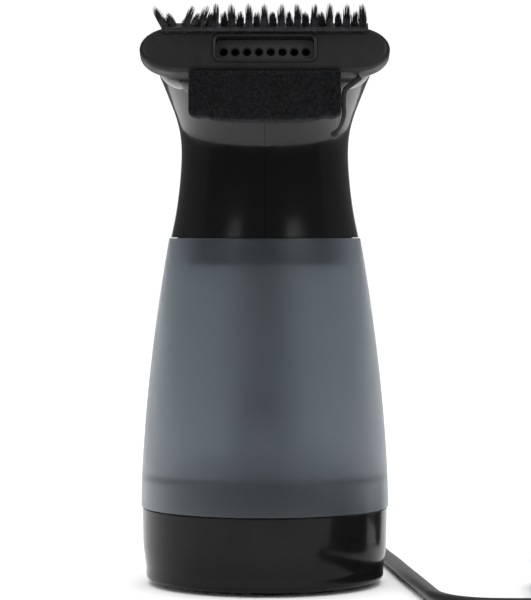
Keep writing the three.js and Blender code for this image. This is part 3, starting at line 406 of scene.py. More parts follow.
def oval(half_width, half_height, end=None, count=64):
    """A long oval: straight sides with elliptical ends of the given length."""
    end = end or half_height
    turns = (np.arange(count) + 0.5) / count * 2 * math.pi
    across = np.sign(np.cos(turns)) * (half_width - end) + end * np.cos(turns)
    return np.column_stack([across, half_height * np.sin(turns)])


def rectangle(x0, x1, y0, y1, corner=1.0, steps=5):
    return rounded([(x0, y0, corner), (x1, y0, corner), (x1, y1, corner), (x0, y1, corner)], True, steps)


def grid_faces(rows, columns, wrap_rows=False, wrap_columns=True):
    """Quads between neighbouring rows of points."""
    faces = []
    for r in range(rows if wrap_rows else rows - 1):
        for c in range(columns if wrap_columns else columns - 1):
            right = (c + 1) % columns
            below = (r + 1) % rows
            faces.append([r * columns + c, r * columns + right, below * columns + right, below * columns + c])
    return faces


def loft(sections, closed_ends=True, ring=False):
    """A skin over sections of equal point counts, with flat ends, or closed on itself as a ring."""
    sections = [np.asarray(s, float) for s in sections]
    count = len(sections[0])
    faces = grid_faces(len(sections), count, ring)
    if closed_ends and not ring:
        last = (len(sections) - 1) * count
        faces += [list(range(count))[::-1], list(range(last, last + count))]
    return np.vstack(sections), faces


def lathe(profile, sides=96):
    """A profile of (radius, height) points turned about Z, from axis to axis or closed on itself."""
    profile = np.asarray(profile, float)
    turns = np.arange(sides) / sides * 2 * math.pi
    around = np.column_stack([np.cos(turns), np.sin(turns)])
    on_axis = profile[0][0] < 1e-6
    points, rings = [], []
    for radius, height in profile:
        first = len(points)
        if radius < 1e-6:
            points.append((0, 0, height))
            rings.append([first] * sides)
        else:
            points += [(radius * c, radius * s, height) for c, s in around]
            rings.append(list(range(first, first + sides)))
    faces = []
    pairs = list(zip(rings, rings[1:])) + ([] if on_axis else [(rings[-1], rings[0])])
    for a, b in pairs:
        for i in range(sides):
            j = (i + 1) % sides
            corners = list(dict.fromkeys([a[i], a[j], b[j], b[i]]))
            if len(corners) > 2:
                faces.append(corners)
    return np.array(points, float), faces


def frames_along(path, side=(1, 0, 0)):
    """Two directions across the path at each of its points, turned as little as can be on the way."""
    tangents = np.gradient(path, axis=0)
    tangents /= np.linalg.norm(tangents, axis=1)[:, None]
    across = np.array(side, float)
    result = []
    for tangent in tangents:
        across = across - tangent * (across @ tangent)
        across /= np.linalg.norm(across)
        result.append((across, np.cross(tangent, across)))
    return result


def sweep(path, section, scales=None, side=(1, 0, 0)):
    """A section of (across, up) points swept along a path, with flat ends."""
    path = np.asarray(path, float)
    section = np.asarray(section, float)
    scales = np.ones(len(path)) if scales is None else scales
    sections = [point + scale * (np.outer(section[:, 0], across) + np.outer(section[:, 1], up))
                for point, scale, (across, up) in zip(path, scales, frames_along(path, side))]
    return loft(sections)


def circle(radius, count=16, flat=1.0):
    turns = np.arange(count) / count * 2 * math.pi
    return np.column_stack([radius * np.cos(turns), radius * flat * np.sin(turns)])


def pipe(path, outer, inner, count=20):
    """A round pipe with a bore along a path."""
    path = np.asarray(path, float)
    rings = []
    for radius, order in ((outer, 1), (inner, -1)):
        spots = circle(radius, count)
        for point, (across, up) in list(zip(path, frames_along(path)))[::order]:
            rings.append(point + np.outer(spots[:, 0], across) + np.outer(spots[:, 1], up))
    return loft(rings, ring=True)


def at_level(outline, z):
    return np.column_stack([outline, np.full(len(outline), z)])


def slab(outline, low, high, bevel=0.6, steps=3):
    """An outline of points extruded from one height to another, with rounded rims."""
    outline = np.asarray(outline, float)
    inward = inward_normals(outline)
    quarter = np.linspace(0, math.pi / 2, steps + 1)
    rims = [(bevel * (1 - math.sin(t)), low + bevel * (1 - math.cos(t))) for t in quarter]
    rims += [(inset, high + low - z) for inset, z in reversed(rims)]
    return loft([at_level(outline + inward * inset, z) for inset, z in rims])


def inward_normals(outline):
    edges = np.roll(outline, -1, axis=0) - np.roll(outline, 1, axis=0)
    normals = np.column_stack([-edges[:, 1], edges[:, 0]])
    normals /= np.linalg.norm(normals, axis=1)[:, None]
    area = np.sum(outline[:, 0] * np.roll(outline[:, 1], -1) - np.roll(outline[:, 0], -1) * outline[:, 1])
    return normals if area > 0 else -normals


def block(x, y, z, bevel=0.6, corner=1.0):
    """A box with rounded upright corners and bevelled rims."""
    return slab(rectangle(x[0], x[1], y[0], y[1], corner), z[0], z[1], bevel)


def merge(*shapes):
    """Several shapes as one."""
    points, faces, start = [], [], 0
    for shape_points, shape_faces in shapes:
        points.append(np.asarray(shape_points, float))
        faces += [[i + start for i in face] for face in shape_faces]
        start += len(shape_points)
    return np.vstack(points), faces


def moved(shape, x=0, y=0, z=0):
    return np.asarray(shape[0]) + [x, y, z], shape[1]


def turned(shape, axes):
    """A shape with its local axes laid along three directions."""
    return np.asarray(shape[0]) @ np.array(axes, float), shape[1]


LAY_X = ((0, 1, 0), (0, 0, 1), (1, 0, 0))  # local Z becomes X
LAY_Y = ((0, 0, 1), (1, 0, 0), (0, 1, 0))  # local Z becomes Y


def spun(profile, sides=96, axes=None, steps=4):
    """A profile with rounded corners, turned; one that starts off the axis closes on itself."""
    shape = lathe(rounded(profile, profile[0][0] > 0, steps), sides)
    return turned(shape, axes) if axes else shape


def stick(radius, low, high, bevel):
    return [(0, low), (radius, low, bevel), (radius, high, bevel), (0, high)]


def rod_x(radius, low, high, y, z, bevel=0.0, sides=24):
    return moved(spun(stick(radius, low, high, bevel), sides, LAY_X), 0, y, z)


def rod_y(radius, low, high, x, z, bevel=0.0, sides=24):
    return moved(spun(stick(radius, low, high, bevel), sides, LAY_Y), x, 0, z)


def rod_z(radius, low, high, x=0, y=0, bevel=0.0, sides=32):
    return moved(spun(stick(radius, low, high, bevel), sides), x, y)


UP = np.array([0, math.sin(HEAD["tilt"]), math.cos(HEAD["tilt"])])  # the head's own +Y
OUT = np.array([0, -math.cos(HEAD["tilt"]), math.sin(HEAD["tilt"])])  # the head's own +Z


def at_head(shape):
    """A shape made in the head's frame (X right, Y up, Z out of the steam plate), put in its place."""
    return moved(turned(shape, ((1, 0, 0), UP, OUT)), *HEAD["at"])


# ---- objects, booleans and finish


def raw_object(name, shape):
    """A Blender object, in metres in the frame, of a shape in millimetres."""
    mesh = bpy.data.meshes.new(name)
    mesh.from_pydata([tuple(p) for p in place(shape[0])], [], [list(map(int, f)) for f in shape[1]])
    cleaner = bmesh.new()
    cleaner.from_mesh(mesh)
    bmesh.ops.remove_doubles(cleaner, verts=cleaner.verts, dist=1e-7)
    bmesh.ops.recalc_face_normals(cleaner, faces=cleaner.faces)
    cleaner.to_mesh(mesh)
    cleaner.free()
    return linked(bpy.data.objects.new(name, mesh))


def bake_modifiers(thing):
    """Replaces an object's mesh by what its modifiers make of it."""
    graph = bpy.context.evaluated_depsgraph_get()
    mesh = bpy.data.meshes.new_from_object(thing.evaluated_get(graph))
    thing.modifiers.clear()
    old = thing.data
    thing.data = mesh
    bpy.data.meshes.remove(old)


def boolean(thing, *tools, operation="DIFFERENCE"):
    """Cuts, joins or trims an object by shapes or by other objects, one after another."""
    for tool in tools:
        given = isinstance(tool, bpy.types.Object)
        modifier = thing.modifiers.new("cut", "BOOLEAN")
        modifier.operation = operation
        modifier.solver = "MANIFOLD"
        modifier.object = tool if given else raw_object("tool", tool)
        cutter = modifier.object
        bake_modifiers(thing)
        if not given:
            bpy.data.objects.remove(cutter)
        if not len(thing.data.vertices):
            raise RuntimeError(f"{thing.name}: nothing is left after a {operation.lower()}")
    return thing


def joined(thing, *tools):
    return boolean(thing, *tools, operation="UNION")


def copied(thing, name):
    twin = thing.copy()
    twin.data = thing.data.copy()
    twin.name = name
    return linked(twin)


def finished(thing, slot, body="body", nodes=None, sharp=32):
    """Shades a piece, gives it its material, hides the CAD nodes that it stands for and hangs it on its
    body's empty.
    """
    mesh = thing.data
    mesh.materials.clear()
    mesh.materials.append(materials[slot])
    mesh.polygons.foreach_set("use_smooth", [True] * len(mesh.polygons))
    mesh.set_sharp_from_angle(angle=math.radians(sharp))
    weighted = thing.modifiers.new("shading", "WEIGHTED_NORMAL")
    weighted.keep_sharp = True
    nodes = [thing.name.removeprefix("look_")] if nodes is None else nodes
    if nodes:
        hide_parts(*nodes)
    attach(thing, body)
    return thing


def build(node, shape, slot, body="body", sharp=32, plus=(), less=()):
    """A piece that stands for one CAD node: a shape, with others joined to it and then cut from it."""
    thing = joined(raw_object("look_" + node, shape), *plus)
    return finished(boolean(thing, *less), slot, body, [node], sharp)


# ---- cord, hank, tie and plug

FLOOR_LEVEL = CORD_RADIUS + 0.15
RELIEF_AXIS = (RELIEF["to"] - RELIEF["from"]) / np.linalg.norm(RELIEF["to"] - RELIEF["from"])
CORD_START = RELIEF["to"] + RELIEF_AXIS * GAP

# The run from the strain relief, round behind the steamer, along its right side and into the hank's front.
CORD_RUN = [
    tuple(CORD_START), (0, 93, 15.3), (2.1, 103.3, 10), (7.9, 112.1, 6.3), (16.7, 117.9, 4.1),
    (27, 120, FLOOR_LEVEL + 0.1),
    *[(x, y, FLOOR_LEVEL) for x, y in (
        (36.8, 118), (45, 112.2), (50.4, 103.6), (52.6, 92), (54.5, 70), (58, 38), (61.3, 4), (64.6, -28),
        (67.6, -58), (69.3, -72), (72.4, -81.4), (78.3, -89.4), (86.6, -94.1), (96.4, -95.5), (110, -95.5),
        (122.4, -95.5))],
]
CORD_TAIL = [(159.9, -55, 22), (159.9, -39, 22), (158.6, -29, 22), (154.9, -18, 22), (150, -7.5, 22),
             (145.4, 3, 22),
             (142.2, 12, 21.4), (141.4, 20, 19.9), (141.3, 27, 18.2), (141.3, 32.7, 17.5),
             (141.3, 35.7, 17.5)]
# The places that the turns take in the hank, as column and layer, and where in its round each turn moves on.
HANK_PLACES = [("outer", 0), ("inner", 0), ("inner", 1), ("outer", 1), ("outer", 2), ("inner", 2),
               ("inner", 3)]
HANK_MOVES = [(15, 17), (13, 15), (8, 12), (5, 7), (3, 5), (0, 3)]
LAYER_STEP = 6.25


def at_relief(shape):
    """A shape made along +Z, laid along the strain relief from its root."""
    return moved(turned(shape, ((1, 0, 0), -np.cross((1, 0, 0), RELIEF_AXIS), RELIEF_AXIS)), *RELIEF["from"])


def hank_points():
    """Five turns and a quarter; each moves to its next place where the turn above has already left it."""
    run = HANK["half_run"]
    stations = [(-run, a) for a in (-90, -60, -30, 0)] + [(y, 0) for y in (-run / 2, 0, run / 2)]
    stations += [(run, a) for a in range(0, 181, 30)] + [(y, 180) for y in (run / 2, 0, -run / 2)]
    stations += [(-run, a) for a in (180, 210, 240)]
    points = []
    for turn, (start, end) in enumerate(HANK_MOVES):
        here, there = [(HANK[column], FLOOR_LEVEL + LAYER_STEP * layer)
                       for column, layer in HANK_PLACES[turn:turn + 2]]
        for i, (y, angle) in enumerate(stations if turn < 5 else stations[:4]):
            share = min(1, max(0, (i - start) / (end - start)))
            share = share * share * (3 - 2 * share)
            radius, level = [a + (b - a) * share for a, b in zip(here, there)]
            a = math.radians(angle)
            points.append((HANK["x"] + radius * math.cos(a), HANK["y"] + y + radius * math.sin(a), level))
    return points


def make_cord():
    points = place(CORD_RUN + hank_points() + CORD_TAIL)
    data = bpy.data.curves.new("look_cord", "CURVE")
    data.dimensions = "3D"
    data.bevel_depth = CORD_RADIUS * MM
    data.bevel_resolution = 5
    data.resolution_u = 8
    data.use_fill_caps = True
    spline = data.splines.new("BEZIER")
    spline.bezier_points.add(len(points) - 1)
    for point, spot in zip(spline.bezier_points, points):
        point.co = spot
        point.handle_left_type = point.handle_right_type = "AUTO"
    cord = linked(bpy.data.objects.new("look_cord", data))
    data.materials.append(materials["cord_sheath"])
    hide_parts("mains_cord", "cord_hank", "cord_tail")
    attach(cord, "body")
    return cord


def make_relief():
    """The tapered sleeve, with ribs moulded round it."""
    long = np.linalg.norm(RELIEF["to"] - RELIEF["from"])
    profile = [(0, 0), (6.6, 0, 0.5), (6.6, 2.4, 0.5), (5.2, 2.6, 0.2), (5.2, 8)]
    ribs = 4
    for i in range(ribs):
        z = 9 + (long - 11) * i / ribs
        radius = RELIEF["radius"] - (RELIEF["radius"] - RELIEF["tip"]) * i / ribs
        profile += [(radius, z, 0.3), (radius - 0.05, z + 2.4, 0.3), (radius - 1.1, z + 2.6, 0.2),
                    (radius - 1.1, z + 3.4, 0.2)]
    profile += [(RELIEF["tip"], long - 1.4, 0.3), (RELIEF["tip"], long, 0.5), (0, long)]
    return build("strain_relief", at_relief(spun(profile, 48)), "soft_rubber")


def make_plug():
    """A round two-pin plug with a grip waist, lying behind the hank."""
    x, z, r = PLUG["x"], PLUG["level"], PLUG["radius"]
    profile = [(0, -12), (4.2, -12, 0.6), (4.6, -6), (5.4, 0, 1), (10, 3, 2), (14.5, 8, 3), (r - 1, 14, 3),
               (r, 20, 2),
               (r, 33, 0.8), (r - 1, 34, 0.6), (0, 34)]
    pieces = [build("plug_body", moved(spun(profile, 64, LAY_Y), x, PLUG["front"], z), "soft_rubber")]
    for name in ("plug_pin_left", "plug_pin_right"):
        low, high, (x, _, z) = span_of(name)
        profile = [(0, low[1]), (2.4, low[1]), (2.4, low[1] + 9), (2.1, low[1] + 9.4), (2.1, high[1] - 2),
                   (1.2, high[1], 0.8), (0, high[1])]
        pieces.append(build(name, moved(spun(profile, 32, LAY_Y), x, 0, z), "brass"))
    return pieces


def make_tie():
    """A soft strap round the hank's left run, with a small stud."""
    middle, reach, top = HANK["x"] - (HANK["inner"] + HANK["outer"]) / 2, 7.2, 20.0
    loop = rounded([(-reach, 0.1, 3.4), (reach, 0.1, 3.4), (reach, top, 3.4), (-reach, top, 3.4)], True, 8)
    inner = loop + inward_normals(loop) * 0.6
    rings = [[(middle + a, HANK["y"] + y, z) for a, z in ring]
             for ring, y in ((loop, -4.5), (loop, 4.5), (inner, 4.5), (inner, -4.5))]
    stud = moved(rod_z(2.2, top - 0.1, top + 0.7, bevel=0.3), middle, HANK["y"])
    return finished(joined(raw_object("look_cord_tie", loft(rings, ring=True)), stud), "soft_rubber",
                    nodes=[], sharp=40)


# ---- base, feet and screws

SCREW_RING = BASE["cover"] - 4
THREAD_PITCH = 0.9
FOOT_RING = 36
FOOT_TURNS = {"right": 0, "rear": math.pi / 2, "left": math.pi, "front": 1.5 * math.pi}
COLLAR_TOP = BASE["top"] + 11
COLLAR_RADIUS = tank_radius(COLLAR_TOP) - WALL - GAP


def handle_tube(grow):
    path = catmull([(0, y, z) for y, z in HANDLE_PATH])
    wide = HANDLE["half_width"] + grow
    return sweep(path, oval(wide, HANDLE["half_thick"] + grow, wide, 48))


def make_base():
    low, top, cover = BASE["bottom"], BASE["top"], BASE["cover"]
    outer, foot, collar = BASE["top_radius"], BASE["low_radius"], COLLAR_RADIUS
    screws = ring_spots(4, SCREW_RING)
    profile = [
        (collar, COLLAR_TOP, 0.4), (collar, top, 0.5), (outer, top, 0.5), (outer - 0.2, top / 2, 8),
               (foot, low + 5.5, 1),
        (foot, low, BASE["corner"]), (cover + GAP, low, 0.4), (cover + GAP, low + 2.4, 0.3),
               (foot - 4, low + 2.4, 2),
        (outer - 2.4, top / 2, 4), (collar - 2.2, top - 2, 0.6), (collar - 2.2, COLLAR_TOP, 0.4),
    ]
    build("base_shell", spun(profile, 160, steps=8), "gloss_black",
          plus=[rod_z(3.8, 4.8, 20, *s) for s in screws],
          less=[*[rod_z(1.7, 0, 16, *s) for s in screws], handle_tube(GAP)])
    feet = [rod_z(4.9, 0, 6, *on_circle(FOOT_RING, turn)) for turn in FOOT_TURNS.values()]
    holes = [rod_z(radius, 0, high, *s) for radius, high in ((1.7, 6), (3.3, low + 1.5)) for s in screws]
    vents = [block((-16, 16), (y - 0.9, y + 0.9), (0, 6), 0.05, 0.8) for y in np.linspace(-18, 18, 9)]
    plate = [(0, low), (cover, low, 0.5), (cover, low + 2.5), (0, low + 2.5)]
    build("base_cover", spun(plate, 120), "matte_black", less=feet + holes + vents)


def make_feet():
    profile = [(0, 0), (5, 0, 0.3), (5.6, 0.35, 0.3), (6.3, 0, 0.3), (6.8, 0.6, 0.4), (6.8, 1.5, 0.3),
               (4.6, 1.5),
               (4.6, 4.3, 0.4), (0, 4.3)]
    for side, turn in FOOT_TURNS.items():
        build("foot_" + side, moved(spun(profile, 48), *on_circle(FOOT_RING, turn)), "soft_rubber")


def cross_screw(head, shank, head_thick, long):
    """A pan head screw along +Z: head at the origin with a cross recess, and a threaded shank."""
    profile = [(0, 0), (head * 0.7, 0, 0.3), (head, head_thick * 0.45, 0.5), (head, head_thick),
               (shank, head_thick)]
    for i in range(int((long - head_thick) / THREAD_PITCH)):
        z = head_thick + 0.6 + i * THREAD_PITCH
        profile += [(shank, z), (shank - 0.3, z + THREAD_PITCH / 2)]
    screw = raw_object("screw", spun(profile + [(shank * 0.4, long), (0, long)], 32))
    for a, b in ((0.45, head * 0.62), (head * 0.62, 0.45)):
        boolean(screw, block((-a, a), (-b, b), (-1, head_thick * 0.5), 0.05, 0.2))
    points = np.array([v.co for v in screw.data.vertices])
    faces = [list(p.vertices) for p in screw.data.polygons]
    bpy.data.objects.remove(screw)
    return (points - [0, AXIS_Y, 0]) / MM, faces


def make_screws():
    shape = cross_screw(3.0, 1.4, 1.2, 13.2)
    for i, spot in enumerate(ring_spots(4, SCREW_RING)):
        build(f"cover_screw_{i + 1}", moved(shape, *spot, BASE["bottom"]), "bright_steel")
    for i in range(4):
        low, high, (_, y, z) = span_of(f"case_screw_{i + 1}")
        shape = turned(cross_screw(2.7, 1.25, 2.0, high[0] - low[0]), LAY_X)
        build(f"case_screw_{i + 1}", moved(shape, low[0], y, z), "bright_steel")


# ---- tank, cap and boiler


def make_tank():
    floor_top = TANK["floor"] + TANK["floor_thick"]
    heights = np.linspace(TANK["bottom"], TANK["top"], 34)
    outside = [(tank_radius(z), z) for z in heights]
    inside = [(tank_radius(z) - WALL, z) for z in heights if z > floor_top + 2]
    outside[0] += (0.5,)
    outside[-1] += (0.5,)
    inside[-1] += (0.5,)
    profile = [*outside, *reversed(inside), (tank_radius(floor_top) - WALL, floor_top, 1.5),
               (18, floor_top, 0.5),
               (18, TANK["floor"], 0.3), (tank_radius(TANK["floor"]) - WALL, TANK["floor"], 0.6),
               (TANK["low_radius"] - WALL, TANK["bottom"], 0.4)]
    build("water_tank", lathe(rounded(profile, True), 192), "smoke_tank")
    low = TANK["top"] - 11.6
    top = TANK["top"] + GAP
    profile = [
        (0, top - 2.4), (35.4, top - 2.4, 0.6), (35.4, low, 0.4), (37.6, low, 0.5), (37.6, top, 0.4),
               (36.2, top, 0.2),
        (36.2, top + 5.6, 0.5), (34, top + 5.6, 0.5), (34, top, 0.5), (0, top)]
    build("tank_cap", spun(profile, 128), "matte_black",
          less=[rod_z(10, 100, 170, 0, -8, sides=48), rod_z(4.7, 100, 170, 0, 16)])
    ring = [(37.9, low + 4, 0.4), (38.8, low + 4.2, 0.4), (38.4, low + 5.2, 0.2), (38.8, low + 6.2, 0.4),
            (37.9, low + 6.4, 0.4)]
    build("tank_gasket", spun(ring), "soft_rubber")


def make_boiler():
    flange = box_of("boiler_seal")[0][2] - GAP
    body = raw_object("look_boiler_body", lathe(rounded([
        (0, 30), (16, 30, 0.8), (16, flange - 3, 0.6), (26, flange - 3, 0.5), (26, flange, 0.5),
                                                         (16, flange, 0.8),
        (16, 66, 0.4), (13.4, 66, 0.4), (13.4, 34, 1), (0, 34)]), 96))
    for shape in (rod_x(1.6, -18, 18, 0, 50), rod_y(1.6, -18, 18, 0, 50)):
        boolean(body, shape)
    boolean(body, *[rod_z(1.5, 30, 60, *spot) for spot in ring_spots(6, 22.6)])
    finished(body, "cast_aluminium")
    profile = [(0, 66.3), (17, 66.3, 0.5), (17, 69, 0.5), (15.4, 69.6, 0.4), (15, 72, 0.8), (8, 72, 0.4),
               (7.4, 71.4, 0.3), (0, 71.4)]
    build("boiler_cap", spun(profile), "cast_aluminium", less=[rod_z(4.7, 60, 80, 0, 8)])
    low, high = box_of("boiler_seal")
    profile = [(18, low[2], 0.4), (25, low[2], 0.4), (25, high[2], 0.4), (18, high[2], 0.4)]
    build("boiler_seal", spun(profile), "silicone")
    riser = catmull([(0, 8, 67), (0, 8, 80), (0, 13, 106), (0, 16, 132), (0, 16, 148.6), (0, 16, 196)], 10)
    build("steam_riser", pipe(riser, 4.4, 3.1, 28), "inner_plastic")


def make_heater():
    turns = np.radians(np.linspace(-60, 240, 60))
    ring = [(11.6 * math.cos(t), 11.6 * math.sin(t), 26.9) for t in turns]
    build("heating_element", sweep(ring, circle(2.8, 20)), "bright_steel")
    low, high = box_of("thermostat")
    disc = spun([(0, 22.5), (5.4, 22.5, 0.4), (5.6, 24, 0.3), (7.6, 24.2, 0.4), (7.6, high[2], 0.5),
                 (0, high[2])], 64)
    tabs = [block((x - 1.2, x + 1.2), (-0.9, 0.9), (low[2], 24), 0.2, 0.3) for x in (-1.8, 1.8)]
    build("thermostat", merge(disc, *tabs), "bright_steel")
    low, high = box_of("thermal_fuse")
    x, z = (low[0] + high[0]) / 2, (low[2] + high[2]) / 2
    profile = rounded([(0, low[1]), (0.5, low[1]), (0.5, low[1] + 2.2), (1.5, low[1] + 2.4, 0.3),
                       (2, low[1] + 3.4, 0.4),
                       (2, high[1] - 3, 0.5), (1.2, high[1] - 2.4, 0.3), (0.5, high[1] - 2.2),
                       (0.5, high[1]), (0, high[1])])
    build("thermal_fuse", moved(turned(lathe(profile, 28), LAY_Y), x, 0, z), "bright_steel")


def make_wiring():
    low, high = box_of("terminal_block")
    block_piece = raw_object("look_terminal_block", block(*zip(low, high), 0.6, 1))
    middle = (low[1] + high[1]) / 2
    for x in (-6, 6):
        boolean(block_piece, rod_z(2.2, high[2] - 3, high[2] + 2, x, middle))
        boolean(block_piece, rod_y(1.5, low[1] - 1, high[1] + 1, x, low[2] + 3))
    boolean(block_piece, block((-0.8, 0.8), (low[1] - 1, high[1] + 1), (low[2] + 3, high[2] + 2), 0.1, 0.2))
    finished(block_piece, "inner_plastic")
    top = high[2]
    for name, side in (("lead_live", 1), ("lead_neutral", -1)):
        path = catmull([(side * 6, -27, top + GAP), (side * 6.2, -26, top + 6), (side * 6, -16, 24),
                        (side * 5.6, -13.3, 26.5)])
        build(name, sweep(path, circle(1.2, 16)), "cord_sheath")
    low, high = box_of("cord_clamp")
    holes = [rod_z(1.7, low[2] + 2, high[2] + 1, x, 30) for x in (-8.6, 8.6)]
    build("cord_clamp", block(*zip(low, high), 0.6, 2), "inner_plastic",
          less=[rod_y(3.1, 20, 40, 0, high[2] + 0.8), *holes])


# ---- upper housing


def blend_shapes(a, b, width):
    """The smooth union of two distance fields."""
    share = np.clip(0.5 + 0.5 * (b - a) / width, 0, 1)
    return b + (a - b) * share - width * share * (1 - share)


NECK_CURVE = catmull(NECK, 16)
NECK_SLOPES = np.gradient(NECK_CURVE[:, 1:], NECK_CURVE[:, 0], axis=0)
MOUTH_CURVE = catmull(MOUTH_STATIONS, 12)
HANDLE_CURVE = catmull(HANDLE_PATH, 14)


def neck_field(p):
    z = np.clip(p[:, 2], NECK[0][0], NECK[-1][0])
    half, front, rear = (np.interp(z, NECK_CURVE[:, 0], NECK_CURVE[:, i]) for i in (1, 2, 3))
    d_half, d_front, d_rear = (np.interp(z, NECK_CURVE[:, 0], NECK_SLOPES[:, i]) for i in (0, 1, 2))
    ahead = p[:, 1] < 0
    reach, d_reach = np.where(ahead, front, rear), np.where(ahead, d_front, d_rear)
    x, y = p[:, 0], p[:, 1]
    rho = np.sqrt((x / half) ** 2 + (y / reach) ** 2) + 1e-9
    slope_z = (x**2 * d_half / half**3 + y**2 * d_reach / reach**3) / rho
    steepness = np.sqrt((x / half**2) ** 2 + (y / reach**2) ** 2 + (slope_z * rho) ** 2) / rho
    wall = (rho - 1) / np.maximum(steepness, 1e-3)
    top = p[:, 2] - NECK[-1][0]
    return np.maximum(-blend_shapes(-wall, -top, 2.0), NECK[0][0] - p[:, 2])


def mouth_field(p):
    local = p - HEAD["at"]
    up, out = local @ UP, local @ OUT
    z = np.clip(out, MOUTH_STATIONS[0][0], MOUTH_STATIONS[-1][0])
    half_width, half_height = (np.interp(z, MOUTH_CURVE[:, 0], MOUTH_CURVE[:, i]) for i in (1, 2))
    beyond = np.maximum(np.abs(p[:, 0]) - (half_width - half_height), 0)
    wall = np.sqrt(beyond**2 + up**2) - half_height
    return np.maximum(wall, np.maximum(out - MOUTH_STATIONS[-1][0], MOUTH_STATIONS[0][0] - out))


def handle_field(p):
    nearest = np.full(len(p), 1e9)
    for y, z in HANDLE_CURVE:
        nearest = np.minimum(nearest, (p[:, 1] - y) ** 2 + (p[:, 2] - z) ** 2)
    near = np.sqrt(nearest)
    rho = np.sqrt((p[:, 0] / HANDLE["half_width"]) ** 2 + nearest / HANDLE["half_thick"] ** 2) + 1e-9
    steepness = np.sqrt((p[:, 0] / HANDLE["half_width"] ** 2) ** 2
                        + (near / HANDLE["half_thick"] ** 2) ** 2) / rho
    return (rho - 1) / np.maximum(steepness, 1e-3)


def case_field(p):
    return blend_shapes(blend_shapes(neck_field(p), mouth_field(p), 6), handle_field(p), 8)


def settle(points, level, rounds=4):
    """Moves points along the field's slope until they lie on one of its levels."""
    step = 0.05
    for _ in range(rounds):
        value = case_field(points)
        slope = np.column_stack([case_field(points + step * np.eye(3)[i]) - value for i in range(3)]) / step
        size = np.maximum(np.sum(slope**2, axis=1), 0.05)
        move = slope * ((value - level) / size)[:, None]
        length = np.linalg.norm(move, axis=1)
        points = points - move * np.minimum(1, 1.5 / np.maximum(length, 1e-9))[:, None]
    return points


def remeshed(thing, voxel, level):
    """The object's skin as even quads, laid on a level of the case's field."""
    modifier = thing.modifiers.new("even", "REMESH")
    modifier.mode = "VOXEL"
    modifier.voxel_size = voxel * MM
    bake_modifiers(thing)
    points = np.empty(len(thing.data.vertices) * 3)
    thing.data.vertices.foreach_get("co", points)
    points = (points.reshape(-1, 3) - [0, AXIS_Y, 0]) / MM
    points = place(settle(points, level))
    thing.data.vertices.foreach_set("co", points.ravel())
    thing.data.update()
    return thing


def rough_case(inset):
    rings = []
    for height, half, front, rear in NECK_CURVE[::4]:
        turns = np.arange(64) / 64 * 2 * math.pi
        reach = np.where(np.sin(turns) < 0, front, rear) - inset
        rings.append(np.column_stack([(half - inset) * np.cos(turns), reach * np.sin(turns),
                                      np.full(64, min(height + inset, NECK[-1][0] - inset))]))
    rings[-1][:, 2] += 0.01
    mouth = [np.column_stack([oval(w - inset, h - inset), np.full(64, z - (inset if z > 3 else 0))])
             for z, w, h in MOUTH_STATIONS]
    return merge(loft(rings), at_head(loft(mouth)), handle_tube(-inset))


def body_envelope():
    heights = np.linspace(TANK["bottom"], TANK["top"], 24)
    walls = [(tank_radius(z) + GAP, z) for z in heights]
    return lathe([(0, TANK["bottom"] - 0.1), *walls, (walls[-1][0], TANK["top"] + GAP),
                  (0, TANK["top"] + GAP)], 128)


CASE_SCREWS = [(88.2, 128, 15.4), (83.4, 80, 15.4), (41, 216.4, 14.6), (24, 160, 29)]


def case_cuts():
    """What the upper housing leaves room for, from the lid and the controls to the tank."""
    slider = box_of("power_slider")
    lens = box_of("pilot_lens")
    lock = box_of("lock_button")
    y_lens = (lens[0][1] + lens[1][1]) / 2
    y_lock, z_lock = (lock[0][1] + lock[1][1]) / 2, (lock[0][2] + lock[1][2]) / 2
    cuts = [
        rod_z(LID["radius"] + GAP, 220, 245, 0, LID["y"], sides=96),
        block((-5.3, 5.3), (4, 20.9), (230.7, 245), 0.05, 0.3),
        rod_x(1.4, -12, 12, LID["hinge_y"], LID["hinge_z"]),
        block((-5.8, 5.8), (66, 82), (155, 195.5), 0.05, 2.5),
        block((-20, 20), (30, HANDLE["foot"]), (0, 40), 0.05, 0.3),
        block((-4.3, 4.3), (slider[0][1] + 4 - GAP, slider[1][1] + GAP), (219, 232), 0.05, 0.8),
        rod_x(3.3, -30, 30, y_lock, z_lock, sides=40),
        rod_z(2.5, 219, 232, 0, y_lens),
        at_relief(rod_z(5.5, -20, 40)),
        at_head(slab(rectangle(-50, 50, -10.5, 10.5), 0, 12, 0.01)),
        body_envelope(),
    ]
    for y, z, half in CASE_SCREWS:
        cuts.append(rod_x(3.0, -60, -half + 3.9, y, z, sides=32))
        cuts.append(rod_x(1.55, -60, 9, y, z))
    return cuts


